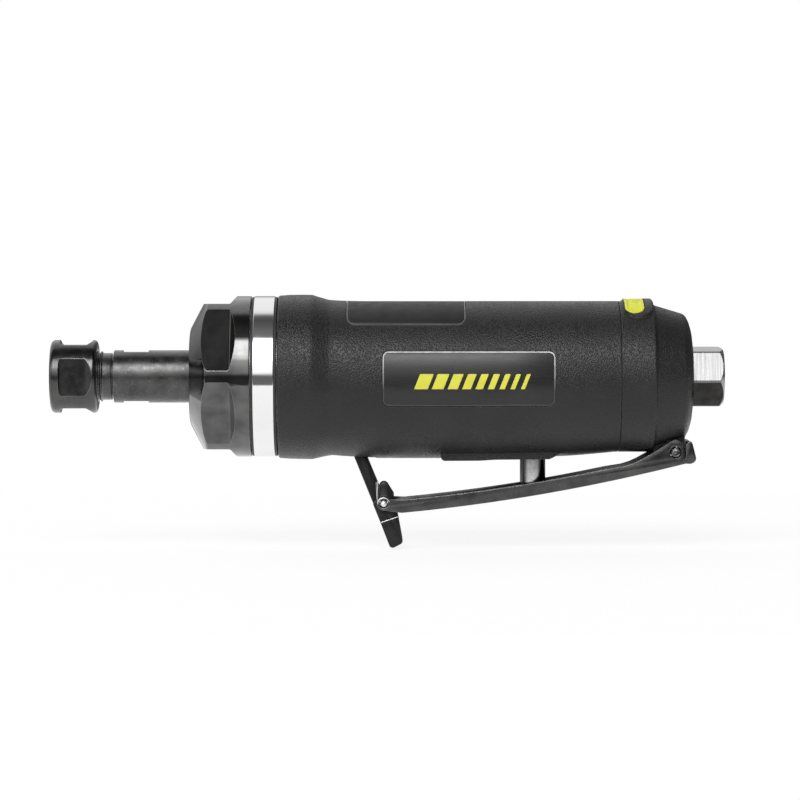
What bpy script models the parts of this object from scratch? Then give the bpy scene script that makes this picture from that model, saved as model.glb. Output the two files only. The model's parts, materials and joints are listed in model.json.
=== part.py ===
"""Pneumatic die grinder with a collet spindle, a lever throttle and a lock-off tab.

X runs along the tool from the collet nut back to the air inlet, Y is across it and Z is up,
with the lever underneath. Every size here is in millimetres; the helpers turn them into metres.
The pieces are laid out from a point on the spindle axis, at the front face of the collet nut.
They all hang on one empty at that point, which stands over the tool's front end so that the
origin is under the middle of the tool, level with the lowest point of the lock tab.
"""

import math

import bmesh
import bpy
from mathutils import Matrix, Vector

MM = 0.001
FIT = 0.35                    # gap left between neighbouring pieces

# Number of sides of a turned piece.
FINE = 48
MEDIUM = 32
COARSE = 24
TINY = 16

# Overall.
TOOL_LENGTH = 179.0
AXIS_HEIGHT = 45.5            # spindle axis above the lowest point of the lock tab

# Collet end.
NUT_LENGTH = 12.4
NUT_R = 9.73
NUT_FLAT = 17.0 / 2
SHANK_R = 3.0                 # the collet holds a 6 mm shank
THREAD_R = 6.75
THREAD_PITCH = 1.0
BARREL_R = 7.0
BARREL_FLAT = 13.0 / 2
SPINDLE_BORE = 3.4

# Front nut and ring.
CLAMP_FRONT = 37.1
CLAMP_REAR = 53.6
BODY_R = 21.4
CLAMP_FLAT = 38.0 / 2 + 0.05
CLAMP_FLAT_ANGLE = 31.4       # first flat's normal, above horizontal on the -Y side
RING_FRONT = 54.1
RING_REAR = 60.0

# Motor.
CASE_R = 18.0
CASE_BORE = 16.8
MOTOR_R = 16.4
DRUM_FRONT = 60.0
DRUM_REAR = 96.0
DRUM_R = 12.0
CYLINDER_BORE = 13.2
CYLINDER_OFFSET = 0.8
JOURNAL_R = 5.0
NOSE_R = 3.9
TAIL_R = 4.0
VANE_COUNT = 5
VANE_THICKNESS = 1.4
BALL_COUNT = 6

# Grip.
GRIP_FRONT = 60.6
GRIP_REAR = 150.4
GRIP_BORE = CASE_R + 0.3
# Stations along the grip: x, top and bottom.
GRIP_LINES = (
    (60.6, 21.0, -21.3), (61.1, 21.4, -21.8), (63.6, 21.9, -22.2), (70.2, 21.9, -22.3),
    (71.2, 21.3, -21.4), (73.5, 20.6, -21.35), (78.0, 20.25, -21.5), (85.0, 20.1, -21.8),
    (118.0, 20.1, -21.7), (137.0, 20.1, -21.2), (147.0, 20.1, -20.4), (150.0, 20.1, -20.1),
    (150.4, 19.8, -19.8),
)
PAD_FRONT, PAD_REAR = 78.9, 110.0
PAD_HALF = 14.55
PLATE_FRONT, PLATE_REAR = 88.5, 133.3
PLATE_BOTTOM, PLATE_TOP = -7.4, 6.3

# Rear cap and inlet.
CAP_FRONT = 151.0
CAP_REAR = 170.0
CAP_R = 20.1
BADGE_R = 20.8
INLET_REAR = TOOL_LENGTH
INLET_FLAT = 14.8 / 2
INLET_TURN = 19.0             # a flat's normal, above horizontal on the -Y side
INLET_BORE = 5.72

# Throttle.
PIN_X = 128.3
PIN_R = 3.4
PIN_BOTTOM = -29.95
VALVE_X, VALVE_Z = 148.8, -4.6      # lower edge of the valve head, where it rocks
PIVOT_X, PIVOT_Z = 166.0, -19.95    # lever pivot
LEVER_HALF = 7.5
LEVER_INNER = 6.3
LEVER_SHEET = 1.2
LEVER_FRONT = 93.4
FLOOR_FRONT = 100.5                 # the channel is forked in front of this
LOCK_X, LOCK_Z = 88.55, -33.57      # lock tab pivot
LOCK_HALF = 5.6

COLOURS = {
    "black_oxide": ((0.035, 0.035, 0.038), 0.42, 0.85),
    "polished_chrome": ((0.82, 0.82, 0.84), 0.12, 1.0),
    "bright_steel": ((0.62, 0.62, 0.63), 0.30, 1.0),
    "bearing_steel": ((0.70, 0.70, 0.72), 0.20, 1.0),
    "composite": ((0.040, 0.041, 0.043), 0.62, 0.0),
    "pad_rubber": ((0.030, 0.030, 0.032), 0.75, 0.0),
    "plate": ((0.050, 0.051, 0.054), 0.35, 0.0),
    "badge_yellow": ((0.79, 0.82, 0.03), 0.35, 0.0),
    "cast_alloy": ((0.55, 0.56, 0.57), 0.45, 1.0),
    "brass": ((0.78, 0.60, 0.28), 0.30, 1.0),
    "seal_rubber": ((0.020, 0.020, 0.021), 0.70, 0.0),
    "felt": ((0.32, 0.31, 0.29), 0.95, 0.0),
    "phenolic": ((0.24, 0.12, 0.05), 0.55, 0.0),
    "spring_steel": ((0.45, 0.45, 0.46), 0.28, 1.0),
}


# ---------------------------------------------------------------- scene

def clear_scene():
    for item in list(bpy.data.objects):
        bpy.data.objects.remove(item, do_unlink=True)


def new_collection(name):
    group = bpy.data.collections.new(name)
    bpy.context.scene.collection.children.link(group)
    return group


clear_scene()
PARTS = new_collection("die_grinder")
CUTTERS = new_collection("cutters")


def finish(name, kind):
    """A new Principled material for one piece."""
    colour, roughness, metallic = COLOURS[kind]
    material = bpy.data.materials.new(name)
    material.use_nodes = True
    shader = material.node_tree.nodes["Principled BSDF"]
    shader.inputs["Base Color"].default_value = (*colour, 1.0)
    shader.inputs["Roughness"].default_value = roughness
    shader.inputs["Metallic"].default_value = metallic
    return material


def part(shape, kind):
    """Keep a shape as a sub-part with its own material."""
    CUTTERS.objects.unlink(shape)
    PARTS.objects.link(shape)
    shape.hide_render = False
    shape.display_type = "SOLID"
    shape.data.materials.append(finish(shape.name, kind))
    shape.data.shade_smooth()
    shape.data.set_sharp_from_angle(angle=math.radians(32))
    return shape


def shape_from(name, mesh):
    """Every shape starts in the cutter collection; part() moves it."""
    shape = bpy.data.objects.new(name, mesh)
    CUTTERS.objects.link(shape)
    shape.hide_render = True
    shape.display_type = "WIRE"
    return shape


def baked(shape):
    """Replace a curve or a shape with modifiers by its final mesh, in world space."""
    bpy.context.view_layer.update()
    evaluated = shape.evaluated_get(bpy.context.evaluated_depsgraph_get())
    mesh = bpy.data.meshes.new_from_object(evaluated)
    mesh.transform(shape.matrix_world)
    name = shape.name
    bpy.data.objects.remove(shape, do_unlink=True)
    work = bmesh.new()
    work.from_mesh(mesh)
    bmesh.ops.remove_doubles(work, verts=work.verts, dist=1e-6)
    work.to_mesh(mesh)
    work.free()
    return shape_from(name, mesh)


def cut(target, tool, operation="DIFFERENCE"):
    """Subtract a tool shape, or intersect or join with it."""
    step = target.modifiers.new(operation.lower(), "BOOLEAN")
    step.operation = operation
    step.solver = "EXACT"
    step.object = tool
    return target


# ---------------------------------------------------------------- shapes

def turned(name, outline, sides=COARSE, axis="X", centre=(0.0, 0.0)):
    """Turn a closed outline of (along, radius) points round a line parallel to an axis.

    The outline runs either way round. An edge that lies on the axis is left out.
    centre gives the line's two other coordinates, in X, Y, Z order.
    """
    count = len(outline)
    area = sum(a[0] * b[1] - b[0] * a[1] for a, b in zip(outline, outline[1:] + outline[:1]))
    points = outline if area > 0 else outline[::-1]
    edges = [(i, (i + 1) % count) for i in range(count)
             if points[i][1] > 0 or points[(i + 1) % count][1] > 0]
    mesh = bpy.data.meshes.new(name)
    mesh.from_pydata([(along * MM, 0.0, radius * MM) for along, radius in points], edges, [])
    shape = shape_from(name, mesh)
    first, second = centre
    if axis == "X":
        shape.location = (0.0, first * MM, second * MM)
    elif axis == "Y":
        shape.location = (first * MM, 0.0, second * MM)
        shape.rotation_euler = (0.0, 0.0, math.pi / 2)
    else:
        shape.location = (first * MM, second * MM, 0.0)
        shape.rotation_euler = (0.0, -math.pi / 2, 0.0)
    spin = shape.modifiers.new("turn", "SCREW")
    spin.axis = "X"
    spin.angle = 2 * math.pi
    spin.steps = sides
    spin.render_steps = sides
    spin.use_merge_vertices = True
    spin.merge_threshold = 1e-5
    return shape


def ring(name, start, end, inner, outer, **options):
    """A plain ring, or a disc where inner is 0."""
    outline = [(start, inner), (end, inner), (end, outer), (start, outer)]
    return turned(name, outline, **options)


def box(name, low, high, turn_x=0.0):
    """A box between two corners, turned round the X axis by an angle in degrees."""
    work = bmesh.new()
    bmesh.ops.create_cube(work, size=1.0)
    size = [(b - a) * MM for a, b in zip(low, high)]
    middle = Vector([(a + b) / 2 * MM for a, b in zip(low, high)])
    bmesh.ops.scale(work, vec=size, verts=work.verts)
    bmesh.ops.translate(work, vec=middle, verts=work.verts)
    bmesh.ops.rotate(work, cent=(0, 0, 0), matrix=Matrix.Rotation(math.radians(turn_x), 3, "X"),
                     verts=work.verts)
    mesh = bpy.data.meshes.new(name)
    work.to_mesh(mesh)
    work.free()
    return shape_from(name, mesh)


PLANES = {
    "XZ": Matrix(((1, 0, 0, 0), (0, 0, -1, 0), (0, 1, 0, 0), (0, 0, 0, 1))),
    "XY": Matrix.Identity(4),
}


def plate(name, outline, start, end, plane="XZ", turn_x=0.0):
    """A flat outline made thick, from start to end across its plane."""
    curve = bpy.data.curves.new(name, "CURVE")
    curve.dimensions = "2D"
    curve.fill_mode = "BOTH"
    curve.extrude = abs(end - start) / 2 * MM
    spline = curve.splines.new("POLY")
    spline.points.add(len(outline) - 1)
    for point, (first, second) in zip(spline.points, outline):
        point.co = (first * MM, second * MM, 0.0, 1.0)
    spline.use_cyclic_u = True
    middle = (start + end) / 2 * MM
    shift = (0, middle, 0) if plane == "XZ" else (0, 0, middle)
    shape = shape_from(name, curve)
    shape.matrix_world = (Matrix.Rotation(math.radians(turn_x), 4, "X")
                          @ Matrix.Translation(shift) @ PLANES[plane])
    return baked(shape)


def arc(centre, radius, start, end, steps=5):
    """Points of an arc, from one angle to another in degrees."""
    angles = [math.radians(start + (end - start) * i / steps) for i in range(steps + 1)]
    return [(centre[0] + radius * math.cos(a), centre[1] + radius * math.sin(a)) for a in angles]


def rounded_box(low, high, radius, steps=3):
    """A rectangle's outline with rounded corners."""
    (x0, y0), (x1, y1) = low, high
    return (arc((x1 - radius, y0 + radius), radius, -90, 0, steps)
            + arc((x1 - radius, y1 - radius), radius, 0, 90, steps)
            + arc((x0 + radius, y1 - radius), radius, 90, 180, steps)
            + arc((x0 + radius, y0 + radius), radius, 180, 270, steps))


def o_ring(name, x, radius, thickness, axis="X", centre=(0.0, 0.0)):
    """A rubber ring with a round section."""
    section = arc((x, radius), thickness / 2, 0, 300, 5)
    return part(turned(name, section, sides=TINY, axis=axis, centre=centre), "seal_rubber")


def wire(name, points, radius):
    """A bent wire through points, as one closed mesh."""
    curve = bpy.data.curves.new(name, "CURVE")
    curve.dimensions = "3D"
    curve.bevel_depth = radius * MM
    curve.bevel_resolution = 1
    curve.use_fill_caps = True
    spline = curve.splines.new("POLY")
    spline.points.add(len(points) - 1)
    for point, place in zip(spline.points, points):
        point.co = (*[value * MM for value in place], 1.0)
    return baked(shape_from(name, curve))


def flats(target, outline, angles, half_width=15.0):
    """Mill flats round the X axis. outline gives (x, distance from the axis) points."""
    for number, angle in enumerate(angles):
        tool = plate(f"{target.name}_flat_{number}", outline, -half_width, half_width,
                     turn_x=angle)
        cut(target, tool)
    return target


def hang(shape, pivot):
    """Parent a moving piece to the empty on its joint's axis."""
    shape.parent = pivot
    shape.matrix_parent_inverse = pivot.matrix_world.inverted()
    return shape


def empty(name, x, z):
    """A named point in the middle plane of the tool, to hang pieces on."""
    point = bpy.data.objects.new(name, None)
    PARTS.objects.link(point)
    point.location = (x * MM, 0.0, z * MM)
    bpy.context.view_layer.update()
    return point


def stand_up():
    """Hang every piece on one empty that puts the origin under the middle of the tool."""
    axis = empty("spindle_axis", -TOOL_LENGTH / 2, AXIS_HEIGHT)
    for group in (PARTS, CUTTERS):
        for item in group.objects:
            if item.parent is None and item is not axis:
                item.parent = axis


# ---------------------------------------------------------------- collet end

def seat_radius(x):
    """The collet's long rear cone."""
    return 5.4 - (x - 4.9) * 0.1157


def make_collet_nut():
    bore = THREAD_R + FIT
    outline = [(0.0, 4.7), (0.5, 4.2), (1.7, 4.2), (4.2, 6.3), (4.6, bore), (12.0, bore),
               (NUT_LENGTH, 7.4), (NUT_LENGTH, 9.2), (11.9, NUT_R), (0.5, NUT_R), (0.0, 9.2)]
    nut = turned("collet_nut", outline, sides=MEDIUM)
    flat = [(3.2, NUT_FLAT), (9.2, NUT_FLAT), (10.5, 10.2), (3.0, 10.2)]
    flats(nut, flat, (0, 90, 180, 270))
    return part(nut, "black_oxide")


def make_collet():
    outline = [(0.6, SHANK_R), (17.0, SHANK_R), (17.0, seat_radius(17.0)),
               (4.9, seat_radius(4.9)), (4.3, 5.78), (2.0, 3.85), (0.6, 3.85)]
    collet = turned("collet", outline)
    for angle in (45, 135):
        cut(collet, box(f"collet_slot_{angle}", (-1, -0.4, -8), (12.5, 0.4, 8), angle))
    return part(collet, "spring_steel")


def thread(start, end, crest, depth, pitch=THREAD_PITCH):
    """Crests and roots of a thread, as rings. The depth is negative in a bore."""
    count = round((end - start) / pitch)
    points = []
    for turn in range(count):
        x = start + turn * pitch
        points += [(x, crest), (x + 0.5 * pitch, crest - depth)]
    return points


def make_collet_body():
    front = 5.1
    bore = [(front, seat_radius(front) + FIT), (17.3, seat_radius(17.3) + FIT),
            (17.6, SPINDLE_BORE), (25.0, SPINDLE_BORE), (26.8, 0.0)]
    socket = [(31.0, 0.0), (31.0, NOSE_R + 0.3), (44.0, NOSE_R + 0.3)]
    barrel = [(44.0, 6.6), (43.6, BARREL_R), (16.8, BARREL_R), (16.5, 6.6), (16.3, 6.2),
              (14.4, 6.2)]
    teeth = thread(11.4, 14.4, THREAD_R, 0.5)[::-1]
    outline = socket + barrel + teeth + [(5.6, THREAD_R), (front, 6.3)] + bore
    body = turned("collet_body", outline)
    for number, side in enumerate((1, -1)):
        low, high = sorted((side * BARREL_FLAT, side * 9.0))
        cut(body, box(f"spanner_flat_{number}", (19.1, -8, low), (26.0, 8, high)))
    return part(body, "black_oxide")


# ---------------------------------------------------------------- front nut and bearing

def make_clamp_nut():
    pocket = 12.7
    outline = [(CLAMP_FRONT, 7.6), (39.6, 7.6), (39.6, pocket), (44.3, pocket),
               (44.3, GRIP_BORE), (CLAMP_REAR, GRIP_BORE), (CLAMP_REAR, 21.0), (53.2, BODY_R),
               (42.7, BODY_R), (42.3, 21.1), (41.5, 20.0), (37.3, 12.6), (CLAMP_FRONT, 12.3)]
    nut = turned("clamp_nut", outline, sides=FINE)
    flat = [(40.0, CLAMP_FLAT), (47.6, CLAMP_FLAT), (50.3, 22.0), (40.0, 22.0)]
    # A plate's own normal points up, so a flat on the -Y side is turned by 90 less its angle.
    flats(nut, flat, [90 - CLAMP_FLAT_ANGLE + 60 * i for i in range(6)])
    return part(nut, "black_oxide")


def make_trim_ring():
    outline = [(RING_FRONT, GRIP_BORE), (RING_REAR, GRIP_BORE), (RING_REAR, 21.1),
               (59.7, BODY_R), (54.4, BODY_R), (RING_FRONT, 21.1)]
    return part(turned("trim_ring", outline, sides=FINE), "polished_chrome")


def make_wave_washer():
    """A thin flat ring bent into three waves."""
    sides, inner, outer, middle, wave, thickness = 36, 13.3, 16.1, 45.45, 0.3, 0.5
    work = bmesh.new()
    circles = [bmesh.ops.create_circle(work, radius=r * MM, segments=sides)["verts"]
               for r in (inner, outer)]
    bmesh.ops.bridge_loops(work, edges=list(work.edges))
    for circle in circles:
        for vert in circle:
            angle = math.atan2(vert.co.y, vert.co.x)
            y, z = vert.co.x, vert.co.y
            vert.co = ((middle + wave * math.cos(3 * angle)) * MM, y, z)
    mesh = bpy.data.meshes.new("wave_washer")
    work.to_mesh(mesh)
    work.free()
    washer = shape_from("wave_washer", mesh)
    skin = washer.modifiers.new("thickness", "SOLIDIFY")
    skin.thickness = thickness * MM
    skin.offset = 0.0
    return part(washer, "spring_steel")


def make_front_small_parts():
    part(ring("dust_seal", 39.95, 42.3, 7.35, 12.35), "felt")
    part(ring("spindle_spacer", 44.35, 46.75, JOURNAL_R + FIT, 7.3), "bright_steel")
    make_wave_washer()


def make_bearing(end, middle, width, bore, inner_edge, pitch, outer_edge, outside, ball):
    """A ball bearing: two grooved rings, a drilled cage and its balls."""
    half = width / 2
    groove, mouth = ball * 0.55, ball * 1.03
    deep = ball + 0.32
    inner = [(middle - half, bore), (middle + half, bore), (middle + half, inner_edge),
             (middle + mouth, inner_edge), (middle + groove, pitch - deep),
             (middle - groove, pitch - deep), (middle - mouth, inner_edge),
             (middle - half, inner_edge)]
    outer = [(middle - half, outside), (middle - half, outer_edge),
             (middle - mouth, outer_edge), (middle - groove, pitch + deep),
             (middle + groove, pitch + deep), (middle + mouth, outer_edge),
             (middle + half, outer_edge), (middle + half, outside)]
    part(turned(f"{end}_bearing_inner", inner, sides=TINY), "bearing_steel")
    part(turned(f"{end}_bearing_outer", outer, sides=TINY), "bearing_steel")
    cage_half = ball + 0.6
    cage = ring(f"{end}_cage", middle - cage_half, middle + cage_half,
                (inner_edge + pitch) / 2 - 0.05, (outer_edge + pitch) / 2 + 0.05, sides=TINY)
    for number in range(BALL_COUNT):
        angle = 360 / BALL_COUNT * number
        pocket = ring(f"{end}_pocket_{number}", pitch - 3, pitch + 3, 0.0, ball + 0.3,
                      sides=8, axis="Z", centre=(middle, 0.0))
        shape = baked(pocket)
        shape.data.transform(Matrix.Rotation(math.radians(angle), 4, "X"))
        cut(cage, shape)
        make_ball(f"{end}_ball_{number + 1}", middle, pitch, ball, angle)
    part(cage, "brass")


def make_ball(name, x, pitch, radius, angle):
    work = bmesh.new()
    bmesh.ops.create_uvsphere(work, u_segments=10, v_segments=6, radius=radius * MM)
    mesh = bpy.data.meshes.new(name)
    work.to_mesh(mesh)
    work.free()
    ball = shape_from(name, mesh)
    turn = math.radians(angle)
    ball.location = (x * MM, -pitch * math.sin(turn) * MM, pitch * math.cos(turn) * MM)
    return part(ball, "bearing_steel")


# ---------------------------------------------------------------- motor

def make_end_plates():
    pocket = 13.3
    front = turned("front_end_plate", [
        (46.6, pocket), (55.5, pocket), (55.5, JOURNAL_R + 0.5), (59.6, JOURNAL_R + 0.5),
        (59.6, MOTOR_R), (46.6, MOTOR_R)])
    cut(front, dowel_hole("front_dowel_hole", 56.2, 60.5))
    part(front, "cast_alloy")
    pocket = 9.85
    rear = turned("rear_end_plate", [
        (96.4, TAIL_R + 0.6), (98.3, TAIL_R + 0.6), (98.3, pocket), (104.9, pocket),
        (104.9, MOTOR_R), (96.4, MOTOR_R)])
    cut(rear, box("rear_plate_port", (95, -5, 14.9), (106, 5, 18)))
    part(rear, "cast_alloy")


def dowel_hole(name, start, end):
    return ring(name, start, end, 0.0, 1.15, sides=12, centre=(0.0, -14.4))


def make_cylinder():
    cylinder = ring("cylinder", 59.95, 96.05, 0.0, MOTOR_R, sides=MEDIUM)
    cut(cylinder, ring("cylinder_bore", 58, 98, 0.0, CYLINDER_BORE, sides=MEDIUM,
                       centre=(0.0, CYLINDER_OFFSET)))
    cut(cylinder, dowel_hole("cylinder_dowel_hole", 59, 63.2))
    for number in range(4):
        start = 67.0 + 7.0 * number
        cut(cylinder, box(f"exhaust_port_{number}", (start, -6, 12), (start + 2.5, 6, 18)))
    part(cylinder, "bearing_steel")
    part(ring("cylinder_dowel", 56.6, 62.8, 0.0, 0.8, sides=10, centre=(0.0, -14.4)),
         "bright_steel")


def make_rotor():
    outline = [(31.4, 0.0), (31.4, 3.5), (31.8, NOSE_R), (44.4, NOSE_R), (44.4, JOURNAL_R),
               (DRUM_FRONT, JOURNAL_R), (DRUM_FRONT, DRUM_R), (DRUM_REAR, DRUM_R),
               (DRUM_REAR, TAIL_R), (105.2, TAIL_R), (105.2, 0.0)]
    rotor = turned("rotor", outline)
    slot = VANE_THICKNESS / 2 + 0.3
    for number in range(VANE_COUNT):
        angle = 360 / VANE_COUNT * number
        cut(rotor, box(f"vane_slot_{number}", (58, -slot, 6.4), (98, slot, 13), angle))
        vane = box(f"vane_{number + 1}", (DRUM_FRONT + 0.3, -VANE_THICKNESS / 2, 6.8),
                   (DRUM_REAR - 0.3, VANE_THICKNESS / 2, 11.7), angle)
        part(vane, "phenolic")
    return part(rotor, "bright_steel")


def make_motor_case():
    outline = [(46.4, CASE_BORE), (105.3, CASE_BORE), (105.3, CASE_R), (46.8, CASE_R),
               (46.4, 17.7)]
    return part(turned("motor_case", outline, sides=MEDIUM), "cast_alloy")


# ---------------------------------------------------------------- grip

def grip_line(x):
    """Radius and height of the centre of the grip's round section at x."""
    for (x0, top0, low0), (x1, top1, low1) in zip(GRIP_LINES, GRIP_LINES[1:]):
        if x <= x1 + 1e-6:
            share = (x - x0) / (x1 - x0)
            top, low = top0 + (top1 - top0) * share, low0 + (low1 - low0) * share
            return (top - low) / 2, (top + low) / 2
    raise ValueError(x)


def grip_solid(name, shrink=0.0):
    """The grip's outer form, solid. Its round sections drop below the spindle axis.

    It is turned first, and each section is then moved to its own centre.
    """
    profile = [(x, grip_line(x)[0] - shrink) for x, _, _ in GRIP_LINES]
    outline = [(GRIP_FRONT, 0.0)] + profile + [(GRIP_REAR, 0.0)]
    shape = baked(turned(name, outline, sides=FINE))
    for vert in shape.data.vertices:
        vert.co.z += grip_line(vert.co.x / MM)[1] * MM
    return shape


def skin_piece(name, outline, start, end, plane, outer, inner):
    """The stretch of the grip's skin inside an outline, between two depths below it."""
    piece = plate(name, outline, start, end, plane=plane)
    if outer is not None:
        cut(piece, grip_solid(f"{name}_outside", outer), "INTERSECT")
    cut(piece, grip_solid(f"{name}_inside", inner))
    return piece


def pad_outline(grow):
    return rounded_box((PAD_FRONT - grow, -PAD_HALF - grow), (PAD_REAR + grow, PAD_HALF + grow),
                       2.0 + grow)


def side_outline(grow):
    return rounded_box((PLATE_FRONT - grow, PLATE_BOTTOM - grow),
                       (PLATE_REAR + grow, PLATE_TOP + grow), 1.5 + grow)


def make_housing():
    housing = grip_solid("housing")
    boss = [(103.6, -20.0), (104.2, -22.4), (105.0, -22.8), (114.0, -22.7), (118.0, -22.3),
            (130.5, -22.2), (133.0, -21.4), (136.0, -20.0)]
    cut(housing, plate("boss", boss, -7.5, 7.5), "UNION")
    cut(housing, ring("grip_bore", 58, 153, 0.0, GRIP_BORE, sides=FINE))
    gap = 0.3
    cut(housing, skin_piece("pad_pocket", pad_outline(gap), 5, 30, "XY", None, 1.1))
    cut(housing, skin_piece("plate_pocket_near", side_outline(gap), -30, -10, "XZ", None, 1.0))
    cut(housing, skin_piece("plate_pocket_far", side_outline(gap), 10, 30, "XZ", None, 1.0))
    cut(housing, ring("pin_hole", -26, -15, 0.0, 5.5, axis="Z", centre=(PIN_X, 0.0)))
    cut(housing, box("lock_pocket", (74.5, -3.7, -24), (86.5, 3.7, -20.2)))
    part(housing, "composite")


def make_inlays():
    part(skin_piece("top_pad", pad_outline(0.0), 5, 30, "XY", 0.0, 0.8), "pad_rubber")
    part(skin_piece("side_plate_near", side_outline(0.0), -30, -10, "XZ", 0.15, 0.7), "plate")
    part(skin_piece("side_plate_far", side_outline(0.0), 10, 30, "XZ", 0.15, 0.7), "plate")


# ---------------------------------------------------------------- valve body and inlet

def make_backhead():
    front, neck, rear = 105.7, 150.4, 165.0
    outline = [(front, 3.0), (124.5, 3.0), (124.5, 6.0), (143.5, 6.0), (143.5, 3.2),
               (147.2, 3.2), (147.2, 6.2), (158.0, 6.2), (158.0, 7.25), (rear, 7.25),
               (rear, 9.3), (neck, 9.3), (neck, 17.9), (front, 17.9)]
    backhead = turned("backhead", outline)
    pin_bore = [(-20.0, 0.0), (-20.0, 5.5), (-12.2, 5.5), (-12.2, PIN_R + FIT),
                (-2.0, PIN_R + FIT), (-2.0, 0.0)]
    cut(backhead, turned("pin_bore", pin_bore, axis="Z", centre=(PIN_X, 0.0)))
    for angle in (-60, -25, 25, 60):
        turn = math.radians(angle)
        centre = (17.2 * math.sin(turn), 17.2 * math.cos(turn))
        cut(backhead, ring(f"exhaust_groove_{angle}", 104, 152, 0.0, 2.3, sides=8,
                           centre=centre))
    return part(backhead, "cast_alloy")


def make_inlet():
    start, hex_front = 158.4, CAP_REAR + 0.3
    teeth = thread(172.6, 177.4, INLET_BORE - 0.6, -0.55, pitch=1.6)
    bore = [(start, 4.6), (165.0, 4.6), (165.7, INLET_BORE), (170.2, INLET_BORE)] + teeth
    outside = [(INLET_REAR, 7.35), (178.0, 8.54), (hex_front, 8.54), (hex_front, 6.9),
               (162.7, 6.9), (162.7, 5.9), (160.1, 5.9), (160.1, 6.9), (start, 6.9)]
    bushing = turned("inlet_bushing", bore + [(178.2, INLET_BORE), (INLET_REAR, 6.3)] + outside)
    flat = [(hex_front - 0.15, INLET_FLAT), (180.0, INLET_FLAT), (180.0, 9.5),
            (hex_front - 0.15, 9.5)]
    flats(bushing, flat, [90 - INLET_TURN + 60 * i for i in range(6)], half_width=8.0)
    part(bushing, "bright_steel")
    o_ring("inlet_o_ring", 161.4, 6.57, 0.66)
    make_inlet_screen()


def make_inlet_screen():
    screen = ring("inlet_screen", 166.0, 166.9, 1.15, 5.35)
    spots = arc((0.0, 0.0), 3.2, 7.0, 307.0)
    for number, spot in enumerate(spots):
        cut(screen, ring(f"screen_hole_{number}", 165, 168, 0.0, 1.15, sides=8, centre=spot))
    return part(screen, "brass")


# ---------------------------------------------------------------- rear cap

def make_rear_cap():
    outline = [(CAP_FRONT, 19.3), (152.2, 19.3), (152.2, 18.0), (159.0, 18.0), (160.2, 17.5),
               (167.9, 14.4), (167.9, 7.25), (CAP_REAR, 7.25), (CAP_REAR, 15.4), (169.7, 16.1),
               (168.9, 16.7), (160.7, 19.7), (159.5, CAP_R), (151.3, CAP_R), (CAP_FRONT, 19.8)]
    cap = turned("rear_cap", outline, sides=FINE)
    lug = ([(160.2, -18.3), (161.2, -20.8), (163.2, -21.9)]
           + arc((PIVOT_X, PIVOT_Z), 2.2, 260, 360, 5) + [(168.6, -15.6)])
    cut(cap, plate("lever_lug", lug, -5.2, 5.2), "UNION")
    frame = rounded_box((151.3, -13.3), (160.0, 13.3), 4.0)
    badge = plate("badge_frame", frame, 8, 30, plane="XY")
    cut(badge, ring("badge_frame_outside", 150, 162, 0.0, BADGE_R, sides=FINE), "INTERSECT")
    cut(badge, ring("badge_frame_inside", 149, 163, 0.0, 19.0, sides=FINE))
    cut(cap, badge, "UNION")
    pocket = plate("badge_pocket", obround(0.3), 8, 30, plane="XY")
    cut(pocket, ring("badge_pocket_floor", 149, 163, 0.0, 19.7, sides=FINE))
    cut(cap, pocket)
    for side, low, high in (("near", -8.3, -5.2), ("far", 5.2, 8.3)):
        cut(cap, box(f"ear_room_{side}", (163.5, low, -24), (172, high, -16.4)))
    cut(cap, ring("lever_pin_hole", -12, 12, 0.0, 1.55, sides=TINY, axis="Y",
                  centre=(PIVOT_X, PIVOT_Z)))
    for number in range(9):
        slot = box(f"exhaust_slot_{number}", (167, -1.1, 9.4), (171, 1.1, 13.6),
                   36 * number + 216)
        cut(cap, slot)
    return part(cap, "composite")


def obround(grow):
    """The badge's outline seen from above."""
    return rounded_box((152.0 - grow, -11.7 - grow), (158.3 + grow, 11.7 + grow), 3.1 + grow, 4)


def make_rear_small_parts():
    insert = plate("badge_insert", obround(0.0), 8, 30, plane="XY")
    cut(insert, ring("insert_outside", 150, 161, 0.0, BADGE_R - 0.05, sides=FINE), "INTERSECT")
    cut(insert, ring("insert_inside", 149, 162, 0.0, 20.05, sides=FINE))
    part(insert, "badge_yellow")
    part(ring("cap_gasket", 150.75, 151.85, 17.0, 18.9), "seal_rubber")
    muffler = [(152.9, 9.75), (166.4, 9.75), (166.4, 14.4), (160.0, 17.05), (158.8, 17.5),
               (152.9, 17.5)]
    part(turned("muffler", muffler), "felt")


# ---------------------------------------------------------------- throttle

def make_valve(pivot):
    head = turned("tilt_valve", [
        (126.5, 0.0), (126.5, 0.9), (126.9, 1.25), (VALVE_X, 1.25), (VALVE_X, 4.6),
        (150.2, 4.6), (150.2, 0.0)])
    hang(part(head, "brass"), pivot)
    turns, steps = 4, 8
    path = []
    for step in range(turns * steps + 1):
        share = step / (turns * steps)
        angle = 2 * math.pi * step / steps
        radius = 3.5 - 0.9 * share
        path.append((151.0 + 4.4 * share, radius * math.cos(angle), radius * math.sin(angle)))
    hang(part(wire("valve_spring", path, 0.3), "spring_steel"), pivot)
    o_ring("valve_seat", 148.0, 4.1, 0.9)


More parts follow.
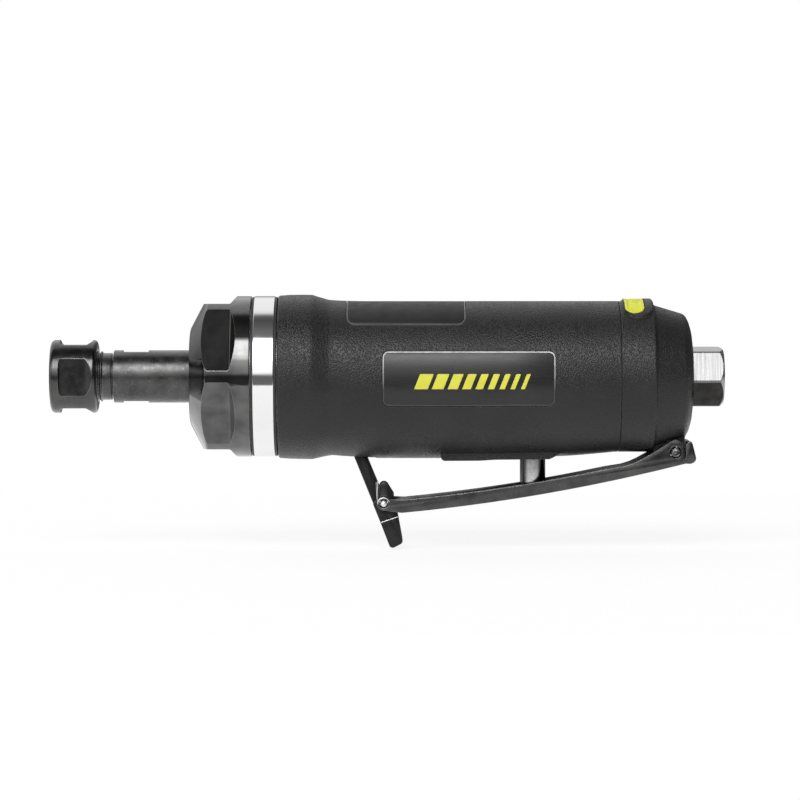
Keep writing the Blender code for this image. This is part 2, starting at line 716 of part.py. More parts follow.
def make_throttle_pin(pivot):
    outline = [(PIN_BOTTOM, 0.0), (PIN_BOTTOM, 0.8), (-29.75, 1.7), (-29.3, 2.7), (-28.6, PIN_R),
               (-11.2, PIN_R), (-11.2, 2.4), (-9.6, 2.4), (-9.6, PIN_R), (-8.6, PIN_R),
               (-8.2, 1.2), (-1.65, 1.2), (-1.65, 0.0)]
    pin = turned("throttle_pin", outline, axis="Z", centre=(PIN_X, 0.0))
    hang(part(pin, "polished_chrome"), pivot)
    hang(o_ring("pin_o_ring", -10.4, 3.06, 0.6, axis="Z", centre=(PIN_X, 0.0)), pivot)
    part(ring("pin_bushing", -22.0, -12.6, PIN_R + FIT, 5.2, axis="Z", centre=(PIN_X, 0.0)),
         "brass")


# ---------------------------------------------------------------- lever

def lever_line(x):
    """Height of the underside of the lever's channel, a gentle upward curve."""
    run = x - LEVER_FRONT
    return -36.0 + 0.0870 * run + 0.001145 * run * run


def make_lever(pivot):
    height = 3.4
    spots = [LEVER_FRONT + (168.4 - LEVER_FRONT) * i / 8 for i in range(9)]
    under = [(x, lever_line(x)) for x in spots]
    heel = [(170.2, -22.9), (171.0, -22.3), (170.9, -21.6), (169.9, -17.5), (169.4, -17.2),
            (168.9, -17.3), (168.5, -18.0)]
    ear = [(167.3, -17.2), (166.4, -16.8), (164.9, -16.9), (163.6, -17.8), (158.0, -22.4),
           (153.5, -23.6)]
    over = [(x, lever_line(x) + height) for x in (140.0, 124.0, 108.0, 97.0)]
    tip = arc((LOCK_X, LOCK_Z), 2.45, 80, 260, 6)
    lever = plate("lever", under + heel + ear + over + tip, -LEVER_HALF, LEVER_HALF)
    floor_spots = [FLOOR_FRONT + (167.6 - FLOOR_FRONT) * i / 7 for i in range(8)]
    floor = [(x, lever_line(x) + LEVER_SHEET) for x in floor_spots]
    hollow = ([(80.0, -50.0), (FLOOR_FRONT, -50.0)] + floor
              + [(169.4, -21.6), (168.4, -17.0), (168.4, -8.0), (80.0, -8.0)])
    cut(lever, plate("lever_hollow", hollow, -LEVER_INNER, LEVER_INNER))
    for name, x, z, radius in (("pivot", PIVOT_X, PIVOT_Z, 1.55), ("lock", LOCK_X, LOCK_Z, 1.2)):
        cut(lever, ring(f"lever_{name}_hole", -12, 12, 0.0, radius, sides=TINY, axis="Y",
                        centre=(x, z)))
    hang(part(lever, "black_oxide"), pivot)
    lock_pin = pin_outline(8.0, 0.9, 0.25)
    hang(part(turned("lock_pin", lock_pin, sides=TINY, axis="Y", centre=(LOCK_X, LOCK_Z)),
              "bright_steel"), pivot)
    part(turned("lever_pin", pin_outline(8.1, 1.25, 0.3), sides=TINY, axis="Y",
                centre=(PIVOT_X, PIVOT_Z)), "bright_steel")


def pin_outline(half, radius, chamfer):
    return [(-half, 0.0), (-half, radius - chamfer), (chamfer - half, radius),
            (half - chamfer, radius), (half, radius - chamfer), (half, 0.0)]


def make_lock(pivot):
    tab = [(86.35, -33.6), (88.0, -38.3), (90.4, -44.9), (91.2, -45.5), (92.9, -44.5),
           (93.4, -43.8), (92.2, -37.0), (90.9, -33.9)] + arc((LOCK_X, LOCK_Z), 2.2, 10, 170, 5)
    lock = plate("lock_tab", tab, -LOCK_HALF, LOCK_HALF)
    arm = [(86.9, -34.0), (81.0, -22.3), (81.2, -21.8), (81.9, -21.5), (83.6, -21.5),
           (84.3, -21.9), (90.1, -33.0)]
    cut(lock, plate("lock_arm", arm, -3.0, 3.0), "UNION")
    cheek = [(87.2, -33.0), (87.5, -28.6), (88.3, -28.0), (90.4, -28.5), (90.9, -29.4),
             (90.6, -33.0)]
    for number, low in enumerate((-LOCK_HALF, LOCK_HALF - 1.0)):
        cut(lock, plate(f"lock_cheek_{number}", cheek, low, low + 1.0), "UNION")
    cut(lock, ring("lock_spring_room", -4.6, -3.0, 0.0, 2.9, sides=TINY, axis="Y",
                   centre=(LOCK_X, LOCK_Z)))
    cut(lock, ring("lock_hole", -12, 12, 0.0, 1.2, sides=TINY, axis="Y",
                   centre=(LOCK_X, LOCK_Z)))
    hang(part(lock, "black_oxide"), pivot)
    hang(part(make_lock_spring(), "spring_steel"), pivot)


def make_lock_spring():
    """Wire wound round the lock pin, with a leg up the side of the arm."""
    radius, turns, steps = 1.75, 1.75, 12
    count = round(turns * steps)
    first, last = -3.48, -4.12
    coil = []
    for step in range(count + 1):
        angle = math.radians(180.0) - 2 * math.pi * step / steps
        y = first + (last - first) * step / count
        coil.append((LOCK_X + radius * math.cos(angle), y, LOCK_Z + radius * math.sin(angle)))
    leg = [(86.6, first, -28.0), (86.7, first, -31.0)]
    return wire("lock_spring", leg + coil, 0.2)


def build():
    make_collet_nut()
    make_collet()
    make_collet_body()
    make_clamp_nut()
    make_trim_ring()
    make_front_small_parts()
    make_bearing("front", 51.1, 8.0, 5.35, 7.9, 9.15, 10.4, 13.0, 1.85)
    make_bearing("rear", 101.6, 5.9, 4.35, 5.9, 6.85, 7.8, 9.5, 1.2)
    make_end_plates()
    make_cylinder()
    make_rotor()
    make_motor_case()
    make_housing()
    make_inlays()
    make_backhead()
    make_inlet()
    make_rear_cap()
    make_rear_small_parts()
    make_valve(empty("valve_pivot", VALVE_X, VALVE_Z))
    make_throttle_pin(empty("pin_slide", PIN_X, 0.0))
    make_lever(empty("lever_pivot", PIVOT_X, PIVOT_Z))
    make_lock(empty("lock_pivot", LOCK_X, LOCK_Z))
    stand_up()


build()
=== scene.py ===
"""Looks of the die grinder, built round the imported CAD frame.

Sizes in this file are in millimetres and are turned into metres by the helpers. X runs from
the collet nut to the air inlet and Z is up. Places are counted from the spindle axis at the
nut's front face, and show() moves each finished piece into the frame. Where a piece begins and
ends comes from the frame; the numbers here are the small steps, radii and depths within it.
"""

import json
import math

import bmesh
import bpy
from mathutils import Matrix, Vector

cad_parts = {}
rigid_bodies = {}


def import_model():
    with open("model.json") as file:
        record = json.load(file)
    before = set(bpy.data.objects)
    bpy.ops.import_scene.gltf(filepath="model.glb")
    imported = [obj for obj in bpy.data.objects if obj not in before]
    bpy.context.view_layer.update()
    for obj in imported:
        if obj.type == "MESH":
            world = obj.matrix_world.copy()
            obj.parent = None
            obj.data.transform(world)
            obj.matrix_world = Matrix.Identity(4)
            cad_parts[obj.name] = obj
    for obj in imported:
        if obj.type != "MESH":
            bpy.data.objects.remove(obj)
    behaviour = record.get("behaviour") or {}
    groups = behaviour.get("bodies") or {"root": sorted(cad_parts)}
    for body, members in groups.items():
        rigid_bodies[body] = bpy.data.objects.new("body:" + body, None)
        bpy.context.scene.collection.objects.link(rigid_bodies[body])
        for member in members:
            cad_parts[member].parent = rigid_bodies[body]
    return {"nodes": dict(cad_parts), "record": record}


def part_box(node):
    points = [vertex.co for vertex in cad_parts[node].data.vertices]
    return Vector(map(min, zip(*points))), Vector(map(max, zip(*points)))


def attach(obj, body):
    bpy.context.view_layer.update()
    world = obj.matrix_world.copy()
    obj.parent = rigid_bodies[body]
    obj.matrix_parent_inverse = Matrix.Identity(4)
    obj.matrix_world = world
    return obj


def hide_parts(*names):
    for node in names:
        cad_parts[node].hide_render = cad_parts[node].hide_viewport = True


for leftover in list(bpy.data.objects):
    bpy.data.objects.remove(leftover)
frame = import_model()
bpy.context.view_layer.update()

MM = 0.001
ROUND = 128                  # sides of a big turned piece
NUT_ROUND = 96
SMALL_ROUND = 64
RING_ROUND = 160
PIN_ROUND = 48
DRILL_REACH = 12             # cross holes run this far each way from the middle plane
WELD = 1e-6                  # metres between points that are the same
TOOLS = []                   # shapes used only to cut others


# ---- the frame, in millimetres

AXIS = Vector((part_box("collet_nut")[0].x, 0.0,
               (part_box("trim_ring")[0].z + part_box("trim_ring")[1].z) / 2))


class Span:
    """Where a CAD node lies: its front, rear, top and bottom."""

    def __init__(self, node):
        low, high = (Vector(corner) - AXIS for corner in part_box(node))
        self.front, self.rear = low.x / MM, high.x / MM
        self.bottom, self.top = low.z / MM, high.z / MM
        self.near, self.far = low.y / MM, high.y / MM
        self.radius = (self.far - self.near) / 2
        self.middle_x = (self.front + self.rear) / 2
        self.middle_z = (self.bottom + self.top) / 2


NUT = Span("collet_nut")
SHANK = Span("collet_body")
CLAMP = Span("clamp_nut")
RING = Span("trim_ring")
GRIP = Span("housing")
PAD = Span("top_pad")
PLATE = Span("side_plate_near")
CAP = Span("rear_cap")
BADGE = Span("badge_insert")
INLET = Span("inlet_bushing")
PIN = Span("throttle_pin")
BUSHING = Span("pin_bushing")
LEVER_PIN = Span("lever_pin")
LOCK_PIN = Span("lock_pin")


# ---- shapes

def shape_from(name, data):
    shape = bpy.data.objects.new(name, data)
    bpy.context.scene.collection.objects.link(shape)
    return shape


def baked(shape):
    """Replace a curve, or a shape with modifiers, by its final welded mesh in world space."""
    bpy.context.view_layer.update()
    evaluated = shape.evaluated_get(bpy.context.evaluated_depsgraph_get())
    mesh = bpy.data.meshes.new_from_object(evaluated)
    mesh.transform(shape.matrix_world)
    name = shape.name
    bpy.data.objects.remove(shape, do_unlink=True)
    work = bmesh.new()
    work.from_mesh(mesh)
    bmesh.ops.remove_doubles(work, verts=work.verts, dist=WELD)
    bmesh.ops.recalc_face_normals(work, faces=work.faces)
    work.to_mesh(mesh)
    work.free()
    return shape_from(name, mesh)


def cut(target, tool, operation="DIFFERENCE"):
    step = target.modifiers.new(operation.lower(), "BOOLEAN")
    step.operation = operation
    step.solver = "EXACT"
    step.object = tool
    TOOLS.append(tool)
    return target


def arc(centre, radius, start, end, steps=6):
    angles = [math.radians(start + (end - start) * i / steps) for i in range(steps + 1)]
    return [(centre[0] + radius * math.cos(a), centre[1] + radius * math.sin(a)) for a in angles]


def softened(outline, radius, steps=6):
    """Round every corner of a closed outline, as far as its shorter side allows."""
    result = []
    count = len(outline)
    for i, corner in enumerate(outline):
        here = Vector(corner)
        before = Vector(outline[i - 1]) - here
        after = Vector(outline[(i + 1) % count]) - here
        on_axis = corner[1] <= 0
        reach = min(radius, before.length * 0.45, after.length * 0.45)
        if on_axis or reach < 0.01 or before.angle(after, 0) > math.radians(172):
            result.append(corner)
            continue
        first, last = here + before.normalized() * reach, here + after.normalized() * reach
        for step in range(steps + 1):
            t = step / steps
            point = first * (1 - t) ** 2 + here * 2 * t * (1 - t) + last * t ** 2
            result.append((point.x, point.y))
    return result


def turned(name, outline, sides=ROUND, axis="X", centre=(0.0, 0.0)):
    """Turn a closed outline of (along, radius) points round a line parallel to an axis."""
    count = len(outline)
    area = sum(a[0] * b[1] - b[0] * a[1] for a, b in zip(outline, outline[1:] + outline[:1]))
    points = outline if area > 0 else outline[::-1]
    edges = [(i, (i + 1) % count) for i in range(count)
             if points[i][1] > 0 or points[(i + 1) % count][1] > 0]
    mesh = bpy.data.meshes.new(name)
    mesh.from_pydata([(along * MM, 0.0, radius * MM) for along, radius in points], edges, [])
    shape = shape_from(name, mesh)
    first, second = centre
    places = {"X": (0.0, first, second), "Y": (first, 0.0, second), "Z": (first, second, 0.0)}
    turns = {"X": (0, 0, 0), "Y": (0, 0, math.pi / 2), "Z": (0, -math.pi / 2, 0)}
    shape.location = Vector(places[axis]) * MM
    shape.rotation_euler = turns[axis]
    spin = shape.modifiers.new("turn", "SCREW")
    spin.axis = "X"
    spin.angle = 2 * math.pi
    spin.steps = spin.render_steps = sides
    spin.use_merge_vertices = True
    spin.merge_threshold = 1e-5
    return shape


def ring(name, start, end, inner, outer, **options):
    outline = [(start, inner), (end, inner), (end, outer), (start, outer)]
    return turned(name, outline, **options)


def between(piece, start, end, outer, inner):
    """Keep the part of a piece that lies between two radii about the spindle axis."""
    cut(piece, ring(f"{piece.name}_outside", start, end, 0.0, outer), "INTERSECT")
    cut(piece, ring(f"{piece.name}_inside", start - 1, end + 1, 0.0, inner))
    return piece


def drill(target, centre, radius, sides=40):
    """A cross hole along Y, right through a piece."""
    cut(target, ring(f"{target.name}_hole", -DRILL_REACH, DRILL_REACH, 0.0, radius, sides=sides,
                     axis="Y", centre=centre))


PLANES = {
    "XZ": Matrix(((1, 0, 0, 0), (0, 0, -1, 0), (0, 1, 0, 0), (0, 0, 0, 1))),
    "XY": Matrix.Identity(4),
}


def line_through(name, dimensions, points):
    curve = bpy.data.curves.new(name, "CURVE")
    curve.dimensions = dimensions
    spline = curve.splines.new("POLY")
    spline.points.add(len(points) - 1)
    for point, place in zip(spline.points, points):
        point.co = (*[value * MM for value in place], 1.0)
    return curve


def plate(name, outline, start, end, plane="XZ", turn_x=0.0):
    """A flat outline made thick, from start to end across its plane."""
    curve = line_through(name, "2D", [(*point, 0.0) for point in outline])
    curve.fill_mode = "BOTH"
    curve.extrude = abs(end - start) / 2 * MM
    curve.splines[0].use_cyclic_u = True
    middle = (start + end) / 2 * MM
    shift = Matrix.Translation((0, middle, 0) if plane == "XZ" else (0, 0, middle))
    shape = shape_from(name, curve)
    shape.matrix_world = Matrix.Rotation(math.radians(turn_x), 4, "X") @ shift @ PLANES[plane]
    return baked(shape)


def box(name, low, high):
    """A plain block, used only to cut others."""
    work = bmesh.new()
    bmesh.ops.create_cube(work, size=1.0)
    size = [(b - a) * MM for a, b in zip(low, high)]
    middle = Vector([(a + b) / 2 * MM for a, b in zip(low, high)])
    bmesh.ops.scale(work, vec=size, verts=work.verts)
    bmesh.ops.translate(work, vec=middle, verts=work.verts)
    mesh = bpy.data.meshes.new(name)
    work.to_mesh(mesh)
    work.free()
    return shape_from(name, mesh)


def rounded_box(low, high, radius, steps=6):
    (x0, y0), (x1, y1) = low, high
    return (arc((x1 - radius, y0 + radius), radius, -90, 0, steps)
            + arc((x1 - radius, y1 - radius), radius, 0, 90, steps)
            + arc((x0 + radius, y1 - radius), radius, 90, 180, steps)
            + arc((x0 + radius, y0 + radius), radius, 180, 270, steps))


def flats(target, outline, angles, half_width):
    """Mill flats round the X axis. outline gives (x, distance from the axis) points."""
    for number, angle in enumerate(angles):
        cut(target, plate(f"{target.name}_flat_{number}", outline, -half_width, half_width,
                          turn_x=angle))
    return target


def wire(name, points, radius):
    curve = line_through(name, "3D", points)
    curve.bevel_depth = radius * MM
    curve.bevel_resolution = 3
    curve.use_fill_caps = True
    return baked(shape_from(name, curve))


def rounded_edges(shape, width, angle=35.0, segments=2):
    """Bevel the sharp edges of a finished mesh."""
    shape = baked(shape)
    work = bmesh.new()
    work.from_mesh(shape.data)
    flat_within = math.radians(0.4)
    bmesh.ops.dissolve_limit(work, angle_limit=flat_within, verts=work.verts, edges=work.edges)
    work.to_mesh(shape.data)
    work.free()
    step = shape.modifiers.new("edges", "BEVEL")
    step.width = width * MM
    step.segments = segments
    step.limit_method = "ANGLE"
    step.angle_limit = math.radians(angle)
    step.use_clamp_overlap = True
    return shape


def show(shape, slot, body, *nodes, look=None, smooth=38.0):
    """Finish a piece: mesh, smooth shading, material, body, and the nodes it stands for."""
    shape = baked(shape)
    while TOOLS:
        bpy.data.objects.remove(TOOLS.pop(), do_unlink=True)
    shape.data.transform(Matrix.Translation(AXIS))
    shape.data.materials.clear()
    shape.data.materials.append(look or LOOKS[slot])
    shape.data.shade_smooth()
    shape.data.set_sharp_from_angle(angle=math.radians(smooth))
    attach(shape, body)
    if nodes:
        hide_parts(*nodes)


# ---- materials

class Graph:
    """A tree of shader nodes, with short ways to add to it."""

    def __init__(self, tree):
        self.tree = tree

    def add(self, kind, **settings):
        node = self.tree.nodes.new(kind)
        for key, value in settings.items():
            setattr(node, key, value)
        return node

    def feed(self, target, value):
        """Link a socket, or set a plain value. A colour of one number is a grey."""
        if isinstance(value, bpy.types.NodeSocket):
            self.tree.links.new(value, target)
        elif target.type == "RGBA":
            target.default_value = (*(value if isinstance(value, tuple) else [value] * 3), 1.0)
        else:
            target.default_value = value

    def maths(self, operation, first, second=0.0):
        node = self.add("ShaderNodeMath", operation=operation)
        self.feed(node.inputs[0], first)
        self.feed(node.inputs[1], second)
        return node.outputs["Value"]

    def times(self, first, second):
        return self.maths("MULTIPLY", first, second)

    def split(self, source):
        node = self.add("ShaderNodeSeparateXYZ")
        self.feed(node.inputs[0], source)
        return node.outputs


class Finish(Graph):
    """A Principled material whose inputs come from procedural textures in object space."""

    def __init__(self, name, metallic=0.0, specular=0.5):
        self.material = bpy.data.materials.new(name)
        self.material.use_nodes = True
        super().__init__(self.material.node_tree)
        self.shader = self.tree.nodes["Principled BSDF"]
        self.place = self.add("ShaderNodeTexCoord").outputs["Object"]
        self.set("Metallic", metallic)
        self.set("Specular IOR Level", specular)
        self.normal = None

    def set(self, name, value):
        self.feed(self.shader.inputs[name], value)

    def noise(self, size, detail=2.0, stretch=(1, 1, 1), rough=0.5):
        """Soft noise with features of about this size, drawn out along the axes of stretch."""
        scale = self.add("ShaderNodeMapping")
        scale.inputs["Scale"].default_value = [1.0 / (size * MM * s) for s in stretch]
        self.feed(scale.inputs["Vector"], self.place)
        node = self.add("ShaderNodeTexNoise")
        self.feed(node.inputs["Vector"], scale.outputs["Vector"])
        node.inputs["Scale"].default_value = 1.0
        node.inputs["Detail"].default_value = detail
        node.inputs["Roughness"].default_value = rough
        return node.outputs["Fac"]

    def cells(self, size, smooth=0.6):
        """Rounded grains, as on a moulded pebble finish."""
        node = self.add("ShaderNodeTexVoronoi", feature="SMOOTH_F1")
        self.feed(node.inputs["Vector"], self.place)
        node.inputs["Scale"].default_value = 1.0 / (size * MM)
        node.inputs["Smoothness"].default_value = smooth
        return node.outputs["Distance"]

    def range(self, source, low=0.3, high=0.7, to_low=0.0, to_high=1.0):
        node = self.add("ShaderNodeMapRange")
        self.feed(node.inputs["Value"], source)
        for name, value in (("From Min", low), ("From Max", high), ("To Min", to_low),
                            ("To Max", to_high)):
            node.inputs[name].default_value = value
        return node.outputs["Result"]

    def mix(self, factor, first, second):
        node = self.add("ShaderNodeMix", data_type="RGBA")
        self.feed(node.inputs["Factor"], factor)
        self.feed(node.inputs[6], first)
        self.feed(node.inputs[7], second)
        return node.outputs[2]

    def paint(self, factor, first, second):
        """The final colour: two colours, mixed."""
        self.set("Base Color", self.mix(factor, first, second))

    def edges(self, radius, keep=0.93):
        """1 at sharp outer edges and corners, 0 on open surfaces."""
        bevel = self.add("ShaderNodeBevel", samples=4)
        bevel.inputs["Radius"].default_value = radius * MM
        dot = self.add("ShaderNodeVectorMath", operation="DOT_PRODUCT")
        self.feed(dot.inputs[0], bevel.outputs["Normal"])
        self.feed(dot.inputs[1], self.add("ShaderNodeNewGeometry").outputs["Normal"])
        self.normal = bevel.outputs["Normal"]
        return self.range(dot.outputs["Value"], 0.999, keep)

    def facing(self):
        """0 where a surface faces the viewer, 1 at its rim."""
        rim = self.add("ShaderNodeLayerWeight")
        rim.inputs["Blend"].default_value = 0.5
        return rim.outputs["Facing"]

    def grazing(self, power, share):
        return self.times(self.maths("POWER", self.facing(), power), share)

    def bump(self, height, depth):
        """Add relief of a depth in millimetres on top of the relief so far."""
        node = self.add("ShaderNodeBump")
        node.inputs["Distance"].default_value = depth * MM
        node.inputs["Strength"].default_value = 1.0
        self.feed(node.inputs["Height"], height)
        if self.normal:
            self.feed(node.inputs["Normal"], self.normal)
        self.normal = node.outputs["Normal"]

    def shine(self, size, detail, low, high):
        """Roughness that wanders between two values in patches of about this size."""
        self.set("Roughness", self.range(self.noise(size, detail), 0.3, 0.7, low, high))

    def done(self):
        if self.normal:
            self.set("Normal", self.normal)
        return self.material


def black_oxide(name, shade=0.085, scuff=0.0, rough=0.22, wear=0.45, speck=0.35):
    """Blackened steel: dark, still metallic, brown-grey where handled, bare at the edges."""
    look = Finish(name, metallic=1.0)
    edge = look.edges(0.28)
    patch = look.noise(5.0, 4.0)
    dark = (shade * 0.74, shade * 0.74, shade * 0.76)
    light = (shade * 1.2, shade * 1.19, shade * 1.17)
    base = look.mix(look.range(patch, 0.35, 0.65), dark, light)
    base = look.mix(look.range(look.noise(0.7, 3.0), 0.56, 0.74, 0.0, speck), base,
                    (0.24, 0.235, 0.23))
    base = look.mix(look.grazing(3.0, 0.55), base, 0.62)
    wear_and_highlight = look.times(edge, look.range(look.noise(1.6, 3.0), 0.3, 0.62, 0.15, wear))
    look.paint(wear_and_highlight, base, (0.52, 0.51, 0.50))
    look.shine(2.2, 4.0, rough * 0.85, rough * 1.4)
    look.bump(look.noise(0.22, 2.0, stretch=(1, 60, 60)), rough * 0.012)
    if scuff:
        look.bump(look.noise(0.8, 4.0, rough=0.62), scuff)
    look.bump(look.noise(0.35, 2.0), rough * 0.012)
    return look.done()


def polished_chrome(name):
    """Polished plating with faint circling lines."""
    look = Finish(name, metallic=1.0)
    look.paint(look.noise(8.0, 3.0), (0.86, 0.86, 0.87), (0.93, 0.93, 0.94))
    look.set("Roughness", look.range(look.noise(3.0, 4.0), 0.3, 0.75, 0.03, 0.11))
    look.bump(look.noise(0.18, 2.0, stretch=(1, 80, 80)), 0.0007)
    look.bump(look.noise(1.5, 2.0), 0.001)
    return look.done()


def turned_steel(name, shade=0.62, rough=0.24, lines=0.004):
    """Bright machined steel: fine lines across X, a little uneven in shine."""
    look = Finish(name, metallic=1.0)
    edge = look.edges(0.2)
    tone = look.noise(0.35, 3.0, stretch=(1, 50, 50))
    base = look.mix(look.range(tone), shade * 0.82, shade * 1.1)
    stain = look.range(look.noise(4.0, 4.0), 0.5, 0.75, 0.0, 0.35)
    base = look.mix(stain, base, (shade * 0.72, shade * 0.70, shade * 0.66))
    look.paint(edge, base, 0.86)
    look.shine(1.2, 4.0, rough - 0.07, rough + 0.1)
    look.bump(tone, lines)
    return look.done()


def hex_steel(name):
    """Bright plated hexagon: milling lines across X, dark corners, painted shade below."""
    look = Finish(name, metallic=1.0)
    corner = look.edges(0.24, keep=0.95)
    tone = look.noise(0.34, 4.0, stretch=(1, 40, 40), rough=0.6)
    base = look.mix(look.range(tone, 0.32, 0.68), 0.145, 0.235)
    base = look.mix(look.grazing(1.6, 1.0), base, 0.85)
    base = look.mix(look.times(corner, 0.85), base, 0.035)
    # painted shade: facets that face downwards are darkened nearly to black, a little unevenly
    facing = look.split(look.add("ShaderNodeNewGeometry").outputs["True Normal"])
    painted_shade = look.range(facing["Z"], -0.3, -0.5)
    painted_shade = look.times(painted_shade, look.range(look.noise(3.0, 4.0), 0.25, 0.6, 0.88, 1.0))
    look.paint(painted_shade, base, (0.032, 0.031, 0.030))
    look.shine(1.4, 4.0, 0.12, 0.22)
    look.bump(tone, 0.006)
    return look.done()


def ground_steel(name):
    """Hard chromed pin, ground round the Z axis, so its lines spread light up and down."""
    look = Finish(name, metallic=1.0)
    tone = look.noise(0.12, 2.0, stretch=(50, 50, 1))
    base = look.mix(look.range(tone), (0.84, 0.84, 0.85), (0.95, 0.95, 0.96))
    # painted reflection: the colour turns almost black away from the part of the pin that faces
    # the viewer
    painted_dark_sides = look.range(look.facing(), 0.0, 0.2, 0.0, 0.95)
    look.paint(painted_dark_sides, base, 0.05)
    look.shine(1.0, 4.0, 0.14, 0.20)
    look.bump(tone, 0.002)
    return look.done()


def composite(name):
    """Dark moulded grip: a pebble grain, slightly polished where a hand rubs it."""
    look = Finish(name, specular=0.34)
    edge = look.edges(0.35, keep=0.9)
    patch = look.range(look.noise(14.0, 3.0), 0.35, 0.7)
    base = look.mix(patch, (0.0150, 0.0152, 0.0155), (0.0200, 0.0202, 0.0205))
    fleck = look.range(look.noise(0.45, 2.0), 0.58, 0.75, 0.0, 0.5)
    base = look.mix(fleck, base, (0.034, 0.034, 0.0345))
    look.paint(look.times(edge, 0.4), base, (0.085, 0.085, 0.086))
    grain = look.cells(0.42, smooth=0.12)
    polish = look.range(look.noise(9.0, 3.0), 0.3, 0.7, 0.29, 0.40)
    look.set("Roughness", look.maths("ADD", polish, look.range(grain, 0.2, 0.7, 0.06, -0.06)))
    look.bump(look.range(grain, 0.05, 0.65, 1.0, 0.0), 0.075)
    look.bump(look.noise(0.28, 3.0, rough=0.65), 0.03)
    return look.done()


def pad_rubber(name):
    """Smooth inlaid rubber with a fine sand grain."""
    look = Finish(name, specular=0.32)
    look.edges(0.3)
    patch = look.range(look.noise(9.0, 3.0), 0.35, 0.7)
    look.paint(patch, (0.015, 0.015, 0.0155), (0.020, 0.020, 0.0205))
    look.shine(2.5, 3.0, 0.40, 0.52)
    look.bump(look.noise(0.22, 3.0), 0.012)
    return look.done()


def satin_plate(name):
    """Smooth printed plate with light rubbing marks; edges lighter from wear and a painted
    highlight.
    """
    look = Finish(name, specular=0.40)
    edge = look.edges(0.3, keep=0.9)
    patch = look.range(look.noise(10.0, 3.0), 0.35, 0.7)
    base = look.mix(patch, (0.015, 0.0152, 0.0155), (0.021, 0.0212, 0.0215))
    # lighter edges: part wear, part painted highlight along the rim
    look.paint(look.times(edge, 0.5), base, 0.10)
    rub = look.noise(0.5, 3.0, stretch=(14, 1, 1))
    look.set("Roughness", look.range(rub, 0.3, 0.7, 0.22, 0.32))
    look.bump(look.noise(0.9, 2.0), 0.004)
    look.bump(rub, 0.0015)
    return look.done()


def rim_with_painted_highlight(name, low, high, shade):
    """An inlay's rim with a painted highlight: lighter from one height of the tool to another."""
    look = Finish(name, specular=0.5)
    height = look.split(look.place)["Z"]
    # painted highlight: the rim lightens with height, as if lit from above; the noise makes it
    # uneven like wear
    upper = look.range(height, AXIS.z + low * MM, AXIS.z + high * MM, 0.05, 1.0)
    wear_and_highlight = look.times(upper, look.range(look.noise(2.0, 4.0), 0.3, 0.6, 0.6, 1.0))
    look.paint(wear_and_highlight, (0.02, 0.02, 0.0205), shade)
    look.shine(0.6, 3.0, 0.30, 0.45)
    look.bump(look.noise(0.3, 2.0), 0.004)
    return look.done()


def moulded_yellow(name, deep, light, grain=0.004):
    """Bright yellow plastic or ink, deeper in some patches and paler along its edges."""
    look = Finish(name, specular=0.35)
    edge = look.edges(0.25, keep=0.9)
    patch = look.range(look.noise(4.0, 3.0))
    base = look.mix(patch, deep, light)
    look.paint(look.times(edge, 0.35), base, (0.90, 0.92, 0.25))
    look.shine(1.0, 3.0, 0.26, 0.36)
    look.set("Coat Weight", 0.1)
    look.bump(look.noise(0.5, 2.0), grain)
    return look.done()


def grained(name, tone, span, dark, light, shine, relief, depth, **shader):
    """A finish of two colours. tone and relief are settings of the noise behind the colour and
    the relief, and relief None takes the colour's own. span is where the colour changes."""
    look = Finish(name, **shader)
    source = look.noise(*tone)
    look.paint(look.range(source, *span), dark, light)
    look.shine(*shine)
    look.bump(look.noise(*relief) if relief else source, depth)
    return look.done()


def pressed_felt(name):
    """Matted fibres: short streaks both ways, pale and dark."""
    look = Finish(name, specular=0.1)
    fibre = look.noise(0.16, 4.0, stretch=(5, 1, 1))
    other = look.noise(0.18, 4.0, stretch=(1, 4, 1))
    mass = look.maths("ADD", fibre, other)
    look.paint(look.range(mass, 0.75, 1.25), (0.16, 0.155, 0.15), (0.40, 0.39, 0.37))
    look.set("Roughness", look.range(fibre, 0.2, 0.8, 0.85, 1.0))
    look.set("Sheen Weight", 0.3)
    look.bump(mass, 0.08)
    return look.done()


